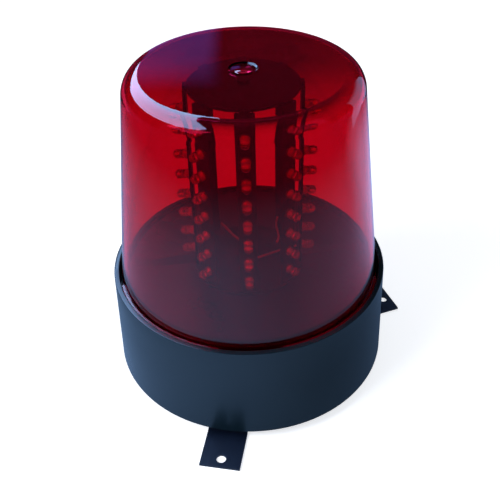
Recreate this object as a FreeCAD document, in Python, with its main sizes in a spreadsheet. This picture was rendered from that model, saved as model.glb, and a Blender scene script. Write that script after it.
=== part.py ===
import FreeCAD, Part
import os

import Sketcher

# Beacon light: a black moulded base on three sheet-metal feet, a red dome that lifts off, and an LED tower.
# Millimetres. The origin is on the dome's axis at the level of the feet's underside, and +Z is up.
# The viewer stands on the -Y side, and azimuths turn from +X towards +Y.

DIMENSIONS = {
    # Base housing: an inverted can with a moat round its top for the dome's edge.
    "stand_height": 7.8,
    "housing_height": 59.9,
    "housing_wall": 2.9,
    "housing_flare": 2.3,
    "rim_round": 0.4,
    "deck_drop": 1.2,
    "deck_thickness": 2.5,
    "deck_edge_round": 0.6,
    "moat_depth": 8.2,
    # Dome: a tapered cup with short flange lugs round its lower edge.
    "dome_radius": 75.4,
    "dome_top_radius": 60.8,
    "dome_wall": 2.5,
    "dome_edge_round": 10.0,
    "dome_headroom": 6.8,
    "dome_clearance": 0.5,
    "gate_radius": 6.2,
    "gate_depth": 0.9,
    "lug_reach": 1.3,
    "lug_clearance": 0.4,
    "lug_drop": 1.0,
    "lug_thickness": 2.2,
    "lug_span": 63.0,
    "lug_count": 4,
    "lug_azimuth": 45.0,
    "gasket_thickness": 1.5,
    # LED tower: upright circuit strips tabbed into a round plate at each end.
    "strip_count": 8,
    "strip_face_radius": 31.0,
    "strip_width": 10.0,
    "strip_thickness": 1.6,
    "strip_end": 11.4,
    "tab_width": 5.0,
    "tab_clearance": 0.1,
    "plate_margin": 1.2,
    "plate_thickness": 1.6,
    "led_count": 8,
    "led_pitch": 12.75,
    "led_rise": 9.2,
    "led_radius": 2.5,
    "led_length": 8.0,
    "led_nose": 1.3,
    "led_sides": 10,
    "pillar_radius": 4.0,
    "pillar_screw_radius": 2.0,
    "pillar_screw_length": 12.0,
    "pillar_head_radius": 3.8,
    "pillar_head_height": 2.4,
    "screw_clearance": 0.1,
    "lead_radius": 0.7,
    "lead_inner_radius": 6.0,
    "lead_circle": 15.0,
    # Bottom plate, its screws and the moulded bosses that take them.
    "bottom_thickness": 1.5,
    "bottom_clearance": 0.3,
    "boss_radius": 4.5,
    "boss_height": 15.0,
    "boss_merge": 1.0,
    "boss_count": 3,
    "boss_angle": 40.0,
    "boss_screw_radius": 1.5,
    "boss_screw_length": 10.0,
    "boss_head_radius": 2.9,
    "boss_head_height": 1.7,
    # Feet: Z-bent straps riveted under the bottom plate.
    "foot_count": 3,
    "foot_azimuth": -101.0,
    "foot_width": 22.8,
    "foot_thickness": 1.5,
    "foot_reach": 20.0,
    "foot_hole_edge": 5.4,
    "foot_hole_radius": 2.75,
    "foot_riser_inset": 9.0,
    "foot_riser_run": 4.0,
    "foot_pad": 26.0,
    "foot_bend": 1.0,
    "rivet_radius": 1.6,
    "rivet_head_radius": 3.2,
    "rivet_head_height": 1.2,
    "rivet_edge": 7.0,
    "rivet_pitch": 12.0,
    # Control board on four posts, with its parts.
    "board_length": 80.0,
    "board_width": 56.0,
    "board_thickness": 1.6,
    "post_height": 8.0,
    "post_radius": 2.75,
    "post_edge": 5.0,
    "post_screw_radius": 1.4,
    "post_screw_length": 6.0,
    "post_head_radius": 2.6,
    "post_head_height": 1.8,
    "chip_length": 20.0,
    "chip_width": 6.4,
    "chip_height": 3.6,
    "chip_offset": 10.0,
    "capacitor_radius": 5.0,
    "capacitor_height": 16.0,
    "capacitor_offset": 24.0,
    "terminal_length": 16.0,
    "terminal_width": 10.0,
    "terminal_height": 11.0,
    "harness_radius": 2.5,
    "harness_clearance": 1.5,
    # Power inlet in the rear of the base.
    "inlet_azimuth": 95.0,
    "inlet_height": 33.0,
    "inlet_boss_radius": 9.0,
    "inlet_boss_depth": 5.0,
    "inlet_seat_radius": 7.5,
    "inlet_seat_depth": 1.6,
    "inlet_flange_radius": 7.0,
    "inlet_flange_thickness": 1.8,
    "inlet_bush_radius": 4.0,
    "inlet_bush_length": 14.0,
    "inlet_bore_radius": 3.1,
    "inlet_bore_depth": 9.5,
    "inlet_pin_radius": 1.05,
    "inlet_pin_length": 8.0,
    "inlet_nut_radius": 6.6,
    "inlet_nut_thickness": 2.2,
}

SHEET_NAME = "Sizes"
FULL_TURN = 360.0
FRONT = -90.0
NUT_SIDES = 6
# Numbers of the strips whose leads show on the lower plate.
LEAD_STRIP_NUMBERS = (3, 4, 6)
# How near two places must be, in millimetres, to count as the same.
SAME_PLACE = 1e-6
# A rounding takes no more than one part in this many of the wall it sits on.
ROUNDING_SHARE = 2.5
Z_AXIS = FreeCAD.Vector(0, 0, 1)

doc = FreeCAD.newDocument("beacon_light")
sheet = doc.addObject("Spreadsheet::Sheet", SHEET_NAME)


class Size:
    """A length, angle or count that knows its present value and the expression that gives it."""

    def __init__(self, value, text):
        self.value = value
        self.text = text

    def __add__(self, other):
        other = as_size(other)
        return Size(self.value + other.value, f"({self.text} + {other.text})")

    def __sub__(self, other):
        other = as_size(other)
        return Size(self.value - other.value, f"({self.text} - {other.text})")

    def __mul__(self, other):
        other = as_size(other)
        return Size(self.value * other.value, f"({self.text} * {other.text})")

    def __truediv__(self, other):
        other = as_size(other)
        return Size(self.value / other.value, f"({self.text} / {other.text})")

    def __rsub__(self, other):
        return as_size(other) - self


def as_size(quantity):
    """Give a plain number the same form as a sheet size."""
    if isinstance(quantity, Size):
        return quantity
    return Size(float(quantity), repr(float(quantity)))


def smaller(first, second):
    """The smaller of two sizes, such as a fillet and the wall that limits it."""
    return Size(min(first.value, second.value), f"min({first.text}; {second.text})")


def fill_sheet():
    """Write every driving dimension to the sheet and give back the sizes by name."""
    sizes = {}
    for row, (name, value) in enumerate(DIMENSIONS.items(), start=1):
        sheet.set(f"A{row}", name)
        sheet.set(f"B{row}", str(value))
        sheet.setAlias(f"B{row}", name)
        sizes[name] = Size(value, f"{SHEET_NAME}.{name}")
    doc.recompute()
    return sizes


dims = fill_sheet()

# Heights that several pieces share.
housing_foot = dims["stand_height"]
rim_top = housing_foot + dims["housing_height"]
deck_top = rim_top - dims["deck_drop"]
deck_under = deck_top - dims["deck_thickness"]
moat_floor = rim_top - dims["moat_depth"]
moat_under = moat_floor - dims["deck_thickness"]
dome_foot = moat_floor + dims["gasket_thickness"]
lower_plate_top = deck_top + dims["plate_thickness"]
first_led = lower_plate_top + dims["led_rise"]
led_column = (dims["led_count"] - 1) * dims["led_pitch"]
upper_plate_under = first_led + led_column + dims["strip_end"]
upper_plate_top = upper_plate_under + dims["plate_thickness"]
dome_top = upper_plate_top + dims["dome_headroom"] + dims["dome_wall"]
bottom_plate_top = housing_foot + dims["bottom_thickness"]
board_under = bottom_plate_top + dims["post_height"]
board_top = board_under + dims["board_thickness"]
terminal_top = board_top + dims["terminal_height"]

# Radii that several pieces share.
moat_radius = dims["dome_radius"] + dims["lug_reach"] + dims["lug_clearance"]
rim_radius = moat_radius + dims["housing_wall"]
foot_radius = rim_radius + dims["housing_flare"]
deck_radius = dims["dome_radius"] - dims["dome_wall"] - dims["dome_clearance"]
plate_radius = dims["strip_face_radius"] + dims["plate_margin"]
strip_back = dims["strip_face_radius"] - dims["strip_thickness"]
boss_circle = foot_radius - dims["housing_wall"] - dims["boss_radius"] + dims["boss_merge"]
riser_top = foot_radius - dims["foot_riser_inset"]
outer_rivet = riser_top - dims["rivet_edge"]
inner_rivet = outer_rivet - dims["rivet_pitch"]
foot_end = foot_radius + dims["foot_reach"]
dome_slope = (dims["dome_radius"] - dims["dome_top_radius"]) / (dome_top - rim_top)
housing_slope = dims["housing_flare"] / dims["housing_height"]

# Stations of the power inlet along its own axis, from the dome's axis outwards.
inlet_wall = rim_radius + housing_slope * (rim_top - dims["inlet_height"])
inlet_seat = inlet_wall - dims["inlet_seat_depth"]
inlet_boss_back = inlet_wall - dims["inlet_boss_depth"]
inlet_back = inlet_seat - dims["inlet_bush_length"]
inlet_front = inlet_seat + dims["inlet_flange_thickness"]
inlet_bore_floor = inlet_front - dims["inlet_bore_depth"]


# Shared drawing steps.


def bind(thing, path, size):
    """Tie a property to the sheet."""
    thing.setExpression(path, as_size(size).text)


def new_body(label, turn=None):
    """Start a sub-part, turned about the vertical axis where it has an azimuth."""
    body = doc.addObject("PartDesign::Body", label)
    body.Label = label
    if turn is not None:
        body.Placement = FreeCAD.Placement(FreeCAD.Vector(), FreeCAD.Rotation(Z_AXIS, 0))
        bind(body, "Placement.Rotation.Angle", turn)
    return body


def new_sketch(body, name, plane, across=0, up=0, out=0, turn=None):
    """Start a sketch on one of the body's own planes, shifted in the plane and along its normal."""
    sketch = body.newObject("Sketcher::SketchObject", name)
    support = next(item for item in body.Origin.OriginFeatures if item.Role == plane)
    sketch.AttachmentSupport = [(support, "")]
    sketch.MapMode = "FlatFace"
    bind(sketch, "AttachmentOffset.Base.x", across)
    bind(sketch, "AttachmentOffset.Base.y", up)
    bind(sketch, "AttachmentOffset.Base.z", out)
    if turn is not None:
        sketch.AttachmentOffset = FreeCAD.Placement(FreeCAD.Vector(), FreeCAD.Rotation(Z_AXIS, 0))
        bind(sketch, "AttachmentOffset.Rotation.Angle", turn)
    return sketch


def fix_point(sketch, curve, end, across, up):
    """Hold one point of a sketch at a place measured from the sketch's origin."""
    for kind, size in (("DistanceX", as_size(across)), ("DistanceY", as_size(up))):
        number = sketch.addConstraint(Sketcher.Constraint(kind, -1, 1, curve, end, size.value))
        sketch.setExpression(f"Constraints[{number}]", size.text)


def draw_outline(sketch, corners):
    """Draw a closed outline of straight sides through corners in order."""
    places = [FreeCAD.Vector(as_size(x).value, as_size(y).value, 0) for x, y in corners]
    sides = []
    for start, end in zip(places, places[1:] + places[:1]):
        sides.append(sketch.addGeometry(Part.LineSegment(start, end), False))
    for side, following in zip(sides, sides[1:] + sides[:1]):
        sketch.addConstraint(Sketcher.Constraint("Coincident", side, 2, following, 1))
    for side, (x, y) in zip(sides, corners):
        fix_point(sketch, side, 1, x, y)


def draw_rectangle(sketch, length, width):
    """Draw a rectangle with one corner on the sketch's origin."""
    draw_outline(sketch, [(0, 0), (length, 0), (length, width), (0, width)])


def draw_circle(sketch, across, up, radius):
    """Draw one circle."""
    centre = FreeCAD.Vector(as_size(across).value, as_size(up).value, 0)
    circle = sketch.addGeometry(Part.Circle(centre, Z_AXIS, radius.value), False)
    fix_point(sketch, circle, 3, across, up)
    number = sketch.addConstraint(Sketcher.Constraint("Radius", circle, radius.value))
    sketch.setExpression(f"Constraints[{number}]", radius.text)


def revolve(body, sketch, axis="V_Axis"):
    """Turn a sketch through a full circle about one of its own axes."""
    feature = body.newObject("PartDesign::Revolution", f"{sketch.Name}_turned")
    feature.Profile = sketch
    feature.ReferenceAxis = (sketch, [axis])
    feature.Angle = FULL_TURN
    return feature


def pad(body, sketch, length, symmetric=False):
    """Raise a sketch along its normal, or to both sides of its plane."""
    feature = body.newObject("PartDesign::Pad", f"{sketch.Name}_raised")
    feature.Profile = sketch
    bind(feature, "Length", length)
    if symmetric:
        feature.SideType = "Symmetric"
    return feature


def cut(body, sketch, depth=None, outwards=False):
    """Cut a sketch against its normal, along it, or right through the body both ways."""
    doc.recompute()
    before = body.Shape.Volume
    feature = body.newObject("PartDesign::Pocket", f"{sketch.Name}_cut")
    feature.Profile = sketch
    if depth is None:
        feature.Type = "ThroughAll"
        feature.SideType = "Symmetric"
    else:
        bind(feature, "Length", depth)
        feature.Reversed = outwards
    doc.recompute()
    if body.Shape.Volume >= before:
        raise RuntimeError(f"{sketch.Name} removes nothing")
    return feature


def round_pattern(body, features, count):
    """Repeat features evenly round the vertical axis."""
    pattern = body.newObject("PartDesign::PolarPattern", f"{features[0].Name}_round")
    pattern.Originals = features
    axis = next(item for item in body.Origin.OriginFeatures if item.Role == "Z_Axis")
    pattern.Axis = (axis, [""])
    pattern.Angle = FULL_TURN
    bind(pattern, "Occurrences", count)
    body.Tip = pattern
    return pattern


def round_edges(body, feature, radius, wanted):
    """Round the edges of a feature for which the test holds."""
    doc.recompute()
    names = [f"Edge{number}" for number, edge in enumerate(feature.Shape.Edges, start=1) if wanted(edge)]
    fillet = body.newObject("PartDesign::Fillet", f"{feature.Name}_rounded")
    fillet.Base = (feature, names)
    bind(fillet, "Radius", radius)
    body.Tip = fillet
    return fillet


def is_ring(edge, height, radius=None):
    """Whether an edge is a full circle about the vertical axis at a height, and of a radius if one is given."""
    if not isinstance(edge.Curve, Part.Circle):
        return False
    level = abs(edge.Curve.Center.z - height.value) < SAME_PLACE
    return level and (radius is None or abs(edge.Curve.Radius - radius.value) < SAME_PLACE)


def is_bend(edge, places):
    """Whether an edge runs across a strap at one of some places along it, each a distance out and a height."""
    box = edge.BoundBox
    if box.XLength > SAME_PLACE or box.ZLength > SAME_PLACE:
        return False
    return any(abs(box.XMin - out.value) < SAME_PLACE and abs(box.ZMin - height.value) < SAME_PLACE
               for out, height in places)


def screw_outline(sketch, head_radius, head_height, radius, length):
    """Draw half a pan-head screw with its head's seat on the sketch's origin and its shank upwards."""
    draw_outline(sketch, [
        (0, 0),
        (head_radius, 0),
        (head_radius, head_height),
        (radius, head_height),
        (radius, head_height + length),
        (0, head_height + length),
    ])


# Base housing.


def make_base_housing():
    """An inverted can: outer wall, moat for the dome's edge, deck, screw bosses and the inlet's seat."""
    body = new_body("base_housing", dims["inlet_azimuth"])
    wall = dims["housing_wall"]
    inner_step = deck_radius - dims["deck_thickness"]
    wall_at_moat = rim_radius + housing_slope * (rim_top - moat_under) - wall
    section = new_sketch(body, "housing_section", "XZ_Plane")
    draw_outline(section, [
        (foot_radius, housing_foot),
        (rim_radius, rim_top),
        (moat_radius, rim_top),
        (moat_radius, moat_floor),
        (deck_radius, moat_floor),
        (deck_radius, deck_top),
        (0, deck_top),
        (0, deck_under),
        (inner_step, deck_under),
        (inner_step, moat_under),
        (wall_at_moat, moat_under),
        (foot_radius - wall, housing_foot),
    ])
    shell = revolve(body, section)
    rim = round_edges(body, shell, smaller(dims["rim_round"], wall / ROUNDING_SHARE), lambda edge: is_ring(edge, rim_top))
    round_edges(body, rim, smaller(dims["deck_edge_round"], dims["deck_thickness"] / ROUNDING_SHARE),
                lambda edge: is_ring(edge, deck_top, deck_radius))

    boss_azimuth = dims["foot_azimuth"] + dims["boss_angle"] - dims["inlet_azimuth"]
    boss_sketch = new_sketch(body, "boss", "XY_Plane", out=bottom_plate_top, turn=boss_azimuth)
    draw_circle(boss_sketch, boss_circle, 0, dims["boss_radius"])
    boss = pad(body, boss_sketch, dims["boss_height"])
    round_pattern(body, [boss], dims["boss_count"])
    pilot_sketch = new_sketch(body, "pilot", "XY_Plane", out=bottom_plate_top, turn=boss_azimuth)
    draw_circle(pilot_sketch, boss_circle, 0, dims["boss_screw_radius"] + dims["screw_clearance"])
    pilot = cut(body, pilot_sketch, dims["boss_screw_length"], outwards=True)
    round_pattern(body, [pilot], dims["boss_count"])

    inlet_boss = new_sketch(body, "inlet_boss", "YZ_Plane", up=dims["inlet_height"], out=inlet_boss_back)
    draw_circle(inlet_boss, 0, 0, dims["inlet_boss_radius"])
    pad(body, inlet_boss, dims["inlet_boss_depth"] - dims["housing_wall"] / 2)
    seat = new_sketch(body, "inlet_seat", "YZ_Plane", up=dims["inlet_height"], out=inlet_seat)
    draw_circle(seat, 0, 0, dims["inlet_seat_radius"])
    cut(body, seat, dims["inlet_boss_depth"], outwards=True)
    hole = new_sketch(body, "inlet_hole", "YZ_Plane", up=dims["inlet_height"], out=inlet_boss_back)
    draw_circle(hole, 0, 0, dims["inlet_bush_radius"] + dims["screw_clearance"])
    cut(body, hole, dims["inlet_boss_depth"], outwards=True)

    post_hole = new_sketch(body, "pillar_hole", "XY_Plane", out=deck_top)
    draw_circle(post_hole, 0, 0, dims["pillar_screw_radius"] + dims["screw_clearance"])
    cut(body, post_hole, dims["deck_thickness"])
    lead_hole = new_sketch(body, "harness_hole", "XY_Plane", out=deck_top)
    draw_circle(lead_hole, dims["lead_circle"], 0, dims["harness_radius"] + dims["harness_clearance"])
    cut(body, lead_hole, dims["deck_thickness"])
    return body


# Dome and its gasket.


def make_dome():
    """A tapered red cup with a rounded top edge, a moulding gate mark and flange lugs in the moat."""
    body = new_body("dome", dims["lug_azimuth"])
    foot = dims["dome_radius"] + dome_slope * (rim_top - dome_foot)
    section = new_sketch(body, "dome_section", "XZ_Plane")
    draw_outline(section, [(0, dome_foot), (foot, dome_foot), (dims["dome_top_radius"], dome_top), (0, dome_top)])
    cup = revolve(body, section)
    edge_round = round_edges(body, cup, dims["dome_edge_round"], lambda edge: is_ring(edge, dome_top))
    doc.recompute()
    open_face = next(f"Face{number}" for number, face in enumerate(edge_round.Shape.Faces, start=1)
                     if face.BoundBox.ZMax - dome_foot.value < SAME_PLACE)
    shell = body.newObject("PartDesign::Thickness", "dome_shell")
    shell.Base = (edge_round, [open_face])
    bind(shell, "Value", dims["dome_wall"])
    shell.Reversed = True
    body.Tip = shell

    gate = new_sketch(body, "gate_mark", "XY_Plane", out=dome_top)
    draw_circle(gate, 0, 0, dims["gate_radius"])
    cut(body, gate, smaller(dims["gate_depth"], dims["dome_wall"] / 2))

    lug_root = dims["dome_radius"] - dims["dome_wall"] / 2
    lug_width = dims["dome_wall"] / 2 + dims["lug_reach"]
    lug_foot = rim_top - dims["lug_drop"] - dims["lug_thickness"]
    lug_sketch = new_sketch(body, "lug", "XZ_Plane")
    draw_outline(lug_sketch, [
        (lug_root, lug_foot),
        (lug_root + lug_width, lug_foot),
        (lug_root + lug_width, lug_foot + dims["lug_thickness"]),
        (lug_root, lug_foot + dims["lug_thickness"]),
    ])
    lug = revolve(body, lug_sketch)
    lug.Midplane = True
    bind(lug, "Angle", dims["lug_span"])
    round_pattern(body, [lug], dims["lug_count"])
    return body


def make_dome_gasket():
    """A flat rubber ring on the moat's floor, under the dome's edge."""
    body = new_body("dome_gasket")
    section = new_sketch(body, "gasket_section", "XZ_Plane")
    inner = deck_radius + dims["dome_clearance"]
    outer = moat_radius - dims["dome_clearance"]
    draw_outline(section, [(inner, moat_floor), (outer, moat_floor), (outer, dome_foot), (inner, dome_foot)])
    revolve(body, section)
    return body


# LED tower.


def make_tower_plate(label, low, with_lead_hole):
    """A round circuit plate with a slot for each strip's tab."""
    body = new_body(label)
    clearance = dims["tab_clearance"]
    disc = new_sketch(body, f"{label}_disc", "XY_Plane", out=low)
    draw_circle(disc, 0, 0, plate_radius)
    pad(body, disc, dims["plate_thickness"])
    slot_width = dims["tab_width"] + clearance * 2
    slot = new_sketch(body, f"{label}_slot", "XY_Plane", across=strip_back - clearance, up=0 - slot_width / 2, out=low)
    draw_rectangle(slot, dims["strip_thickness"] + clearance * 2, slot_width)
    slot_cut = cut(body, slot)
    round_pattern(body, [slot_cut], dims["strip_count"])
    centre = new_sketch(body, f"{label}_centre", "XY_Plane", out=low)
    draw_circle(centre, 0, 0, dims["pillar_screw_radius"] + dims["screw_clearance"])
    cut(body, centre)
    if with_lead_hole:
        lead = new_sketch(body, f"{label}_lead", "XY_Plane", out=low, turn=dims["inlet_azimuth"])
        draw_circle(lead, dims["lead_circle"], 0, dims["harness_radius"] + dims["harness_clearance"])
        cut(body, lead)
    return body


def strip_azimuth(number):
    """The direction that a strip faces, counted from the one in front."""
    return as_size(FULL_TURN) / dims["strip_count"] * (number - 1) + FRONT


def make_led_strip(number, azimuth):
    """An upright circuit strip with a tab at each end."""
    body = new_body(f"led_strip_{number}", azimuth)
    outline = new_sketch(body, f"strip_{number}_outline", "YZ_Plane",
                         across=0 - dims["strip_width"] / 2, up=deck_top, out=strip_back)
    shoulder = (dims["strip_width"] - dims["tab_width"]) / 2
    far_shoulder = shoulder + dims["tab_width"]
    low = dims["plate_thickness"]
    high = upper_plate_under - deck_top
    draw_outline(outline, [
        (0, low),
        (shoulder, low),
        (shoulder, 0),
        (far_shoulder, 0),
        (far_shoulder, low),
        (dims["strip_width"], low),
        (dims["strip_width"], high),
        (far_shoulder, high),
        (far_shoulder, high + dims["plate_thickness"]),
        (shoulder, high + dims["plate_thickness"]),
        (shoulder, high),
        (0, high),
    ])
    pad(body, outline, dims["strip_thickness"])
    return body


def make_led_column(number, azimuth):
    """The LEDs of one strip, pointing outwards, each with a bevelled nose."""
    body = new_body(f"leds_{number}", azimuth)
    prism = body.newObject("PartDesign::AdditivePrism", f"led_{number}")
    support = next(item for item in body.Origin.OriginFeatures if item.Role == "YZ_Plane")
    prism.AttachmentSupport = [(support, "")]
    prism.MapMode = "FlatFace"
    bind(prism, "Polygon", dims["led_sides"])
    bind(prism, "Circumradius", dims["led_radius"])
    bind(prism, "Height", dims["led_length"])
    bind(prism, "AttachmentOffset.Base.y", first_led)
    bind(prism, "AttachmentOffset.Base.z", dims["strip_face_radius"])
    doc.recompute()
    tip = dims["strip_face_radius"] + dims["led_length"]
    nose_edges = [f"Edge{place}" for place, edge in enumerate(prism.Shape.Edges, start=1)
                  if tip.value - edge.BoundBox.XMin < SAME_PLACE]
    nose = body.newObject("PartDesign::Chamfer", f"led_{number}_nose")
    nose.Base = (prism, nose_edges)
    bind(nose, "Size", smaller(dims["led_nose"], dims["led_radius"] * 2 / ROUNDING_SHARE))
    body.Tip = nose
    column = body.newObject("PartDesign::LinearPattern", f"led_{number}_column")
    column.TransformMode = "Whole shape"
    axis = next(item for item in body.Origin.OriginFeatures if item.Role == "Z_Axis")
    column.Direction = (axis, [""])
    bind(column, "Length", led_column)
    bind(column, "Occurrences", dims["led_count"])
    body.Tip = column
    return body


def make_tower_pillar():
    """The tube that ties the tower's two plates together."""
    body = new_body("tower_pillar")
    section = new_sketch(body, "pillar_section", "XZ_Plane")
    bore = dims["pillar_screw_radius"] + dims["screw_clearance"]
    draw_outline(section, [
        (bore, lower_plate_top),
        (dims["pillar_radius"], lower_plate_top),
        (dims["pillar_radius"], upper_plate_under),
        (bore, upper_plate_under),
    ])
    revolve(body, section)
    return body


def make_tower_screws():
    """The screw under the deck and the screw on the upper plate, both into the pillar."""
    body = new_body("tower_screws")
    head = dims["pillar_head_height"]
    lower = new_sketch(body, "lower_pillar_screw", "XZ_Plane", up=deck_under - head)
    screw_outline(lower, dims["pillar_head_radius"], head, dims["pillar_screw_radius"], dims["pillar_screw_length"])
    revolve(body, lower)
    shank_end = upper_plate_top - dims["pillar_screw_length"]
    upper = new_sketch(body, "upper_pillar_screw", "XZ_Plane", up=shank_end)
    draw_outline(upper, [
        (0, 0),
        (dims["pillar_screw_radius"], 0),
        (dims["pillar_screw_radius"], dims["pillar_screw_length"]),
        (dims["pillar_head_radius"], dims["pillar_screw_length"]),
        (dims["pillar_head_radius"], dims["pillar_screw_length"] + head),
        (0, dims["pillar_screw_length"] + head),
    ])
    revolve(body, upper)
    return body


def make_tower_leads():
    """Wires that lie on the lower plate, each from beside the pillar to the back of a strip."""
    body = new_body("tower_leads")
    for number in LEAD_STRIP_NUMBERS:
        half = new_sketch(body, f"lead_{number}", "XY_Plane", out=lower_plate_top + dims["lead_radius"],
                          turn=strip_azimuth(number))
        draw_outline(half, [
            (dims["lead_inner_radius"], 0),
            (strip_back, 0),
            (strip_back, dims["lead_radius"]),
            (dims["lead_inner_radius"], dims["lead_radius"]),
        ])
        revolve(body, half, "H_Axis")
    return body


# Bottom plate, feet and their fasteners.


def make_bottom_plate():
    """The sheet disc that closes the base from below, with holes for its screws and the feet's rivets."""
    body = new_body("bottom_plate", dims["foot_azimuth"])
    disc = new_sketch(body, "bottom_disc", "XY_Plane", out=housing_foot)
    draw_circle(disc, 0, 0, foot_radius - dims["housing_wall"] - dims["bottom_clearance"])
    pad(body, disc, dims["bottom_thickness"])
    screw_hole = new_sketch(body, "bottom_screw_hole", "XY_Plane", out=housing_foot, turn=dims["boss_angle"])
    draw_circle(screw_hole, boss_circle, 0, dims["boss_screw_radius"] + dims["screw_clearance"])
    screw_cut = cut(body, screw_hole)
    round_pattern(body, [screw_cut], dims["boss_count"])
    rivet_hole = new_sketch(body, "bottom_rivet_hole", "XY_Plane", out=housing_foot)
    for place in (outer_rivet, inner_rivet):
        draw_circle(rivet_hole, place, 0, dims["rivet_radius"] + dims["screw_clearance"])
    rivet_cut = cut(body, rivet_hole)
    round_pattern(body, [rivet_cut], dims["foot_count"])
    return body


def make_bottom_plate_screws():
    """The screws through the bottom plate into the housing's bosses."""
    body = new_body("bottom_plate_screws", dims["foot_azimuth"] + dims["boss_angle"])
    head = dims["boss_head_height"]
    sketch = new_sketch(body, "bottom_screw", "XZ_Plane", across=boss_circle, up=housing_foot - head)
    screw_outline(sketch, dims["boss_head_radius"], head, dims["boss_screw_radius"], dims["boss_screw_length"])
    screw = revolve(body, sketch)
    round_pattern(body, [screw], dims["boss_count"])
    return body


def make_foot(label, azimuth):
    """A Z-bent strap: an upper pad under the bottom plate, a sloping riser and a ground pad with one hole."""
    body = new_body(label, azimuth)
    thick = dims["foot_thickness"]
    drop = dims["stand_height"] - thick
    run = dims["foot_riser_run"]
    riser_length = Size((run.value ** 2 + drop.value ** 2) ** 0.5, f"sqrt({run.text} ^ 2 + {drop.text} ^ 2)")
    corner = thick * (riser_length - run) / drop
    side = new_sketch(body, f"{label}_side", "XZ_Plane")
    draw_outline(side, [
        (riser_top - dims["foot_pad"], drop),
        (riser_top, drop),
        (riser_top + run, 0),
        (foot_end, 0),
        (foot_end, thick),
        (riser_top + run + corner, thick),
        (riser_top + corner, dims["stand_height"]),
        (riser_top - dims["foot_pad"], dims["stand_height"]),
    ])
    strap = pad(body, side, dims["foot_width"], symmetric=True)
    inner_bends = [(riser_top, drop), (riser_top + run + corner, thick)]
    outer_bends = [(riser_top + corner, dims["stand_height"]), (riser_top + run, as_size(0))]
    inside = round_edges(body, strap, dims["foot_bend"], lambda edge: is_bend(edge, inner_bends))
    round_edges(body, inside, dims["foot_bend"] + thick, lambda edge: is_bend(edge, outer_bends))
    hole = new_sketch(body, f"{label}_hole", "XY_Plane")
    draw_circle(hole, foot_end - dims["foot_hole_edge"], 0, dims["foot_hole_radius"])
    cut(body, hole)
    rivets = new_sketch(body, f"{label}_rivets", "XY_Plane")
    for place in (outer_rivet, inner_rivet):
        draw_circle(rivets, place, 0, dims["rivet_radius"] + dims["screw_clearance"])
    cut(body, rivets)
    return body


def make_foot_rivets():
    """The rivets that hold the feet, two to a foot."""
    body = new_body("foot_rivets", dims["foot_azimuth"])
    head = dims["rivet_head_height"]
    grip = dims["foot_thickness"] + dims["bottom_thickness"]
    rivets = []
    for name, place in (("outer_rivet", outer_rivet), ("inner_rivet", inner_rivet)):
        seat = dims["stand_height"] - dims["foot_thickness"]
        sketch = new_sketch(body, name, "XZ_Plane", across=place, up=seat - head)
        draw_outline(sketch, [
            (0, 0),
            (dims["rivet_head_radius"], 0),
            (dims["rivet_head_radius"], head),
            (dims["rivet_radius"], head),
            (dims["rivet_radius"], head + grip),
            (dims["rivet_head_radius"], head + grip),
            (dims["rivet_head_radius"], head * 2 + grip),
            (0, head * 2 + grip),
        ])
        rivets.append(revolve(body, sketch))
    round_pattern(body, rivets, dims["foot_count"])
    return body


# Control board and its parts, in line with the inlet.


def board_corners():
    """The places of the board's four posts in the board's own directions."""
    reach_x = dims["board_length"] / 2 - dims["post_edge"]
    reach_y = dims["board_width"] / 2 - dims["post_edge"]
    return [(reach_x, reach_y), (0 - reach_x, reach_y), (0 - reach_x, 0 - reach_y), (reach_x, 0 - reach_y)]


def make_control_board():
    """The circuit board that drives the tower, with a hole at each corner."""
    body = new_body("control_board", dims["inlet_azimuth"])
    outline = new_sketch(body, "board_outline", "XY_Plane", across=0 - dims["board_length"] / 2,
                         up=0 - dims["board_width"] / 2, out=board_under)
    draw_rectangle(outline, dims["board_length"], dims["board_width"])
    pad(body, outline, dims["board_thickness"])
    for number, (x, y) in enumerate(board_corners(), start=1):
        hole = new_sketch(body, f"board_hole_{number}", "XY_Plane", across=x, up=y, out=board_under)
        draw_circle(hole, 0, 0, dims["post_screw_radius"] + dims["screw_clearance"])
        cut(body, hole)
    return body


def make_board_posts():
    """The four posts between the bottom plate and the board."""
    body = new_body("board_posts", dims["inlet_azimuth"])
    bore = dims["post_screw_radius"] + dims["screw_clearance"]
    for number, (x, y) in enumerate(board_corners(), start=1):
        sketch = new_sketch(body, f"post_{number}", "XY_Plane", across=x, up=y, out=bottom_plate_top)
        draw_circle(sketch, 0, 0, dims["post_radius"])
        draw_circle(sketch, 0, 0, bore)
        pad(body, sketch, dims["post_height"])
    return body


def make_board_screws():
    """The four screws that hold the board on its posts."""
    body = new_body("board_screws", dims["inlet_azimuth"])
    length = dims["post_screw_length"]
    for number, (x, y) in enumerate(board_corners(), start=1):
        shank = new_sketch(body, f"board_screw_{number}", "XY_Plane", across=x, up=y, out=board_top - length)
        draw_circle(shank, 0, 0, dims["post_screw_radius"])
        pad(body, shank, length)
        head = new_sketch(body, f"board_screw_head_{number}", "XY_Plane", across=x, up=y, out=board_top)
        draw_circle(head, 0, 0, dims["post_head_radius"])
        pad(body, head, dims["post_head_height"])
    return body


def make_board_part(label, length, width, height, centre_x, centre_y):
    """A block-shaped part that stands on the board."""
    body = new_body(label, dims["inlet_azimuth"])
    outline = new_sketch(body, f"{label}_outline", "XY_Plane", across=centre_x - length / 2,
                         up=centre_y - width / 2, out=board_top)
    draw_rectangle(outline, length, width)
    pad(body, outline, height)
    return body


def make_smoothing_capacitor():
    """A round capacitor that stands on the board."""
    body = new_body("smoothing_capacitor", dims["inlet_azimuth"])
    outline = new_sketch(body, "capacitor_outline", "XY_Plane", across=0 - dims["capacitor_offset"], out=board_top)
    draw_circle(outline, 0, 0, dims["capacitor_radius"])
    pad(body, outline, dims["capacitor_height"])
    return body


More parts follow.
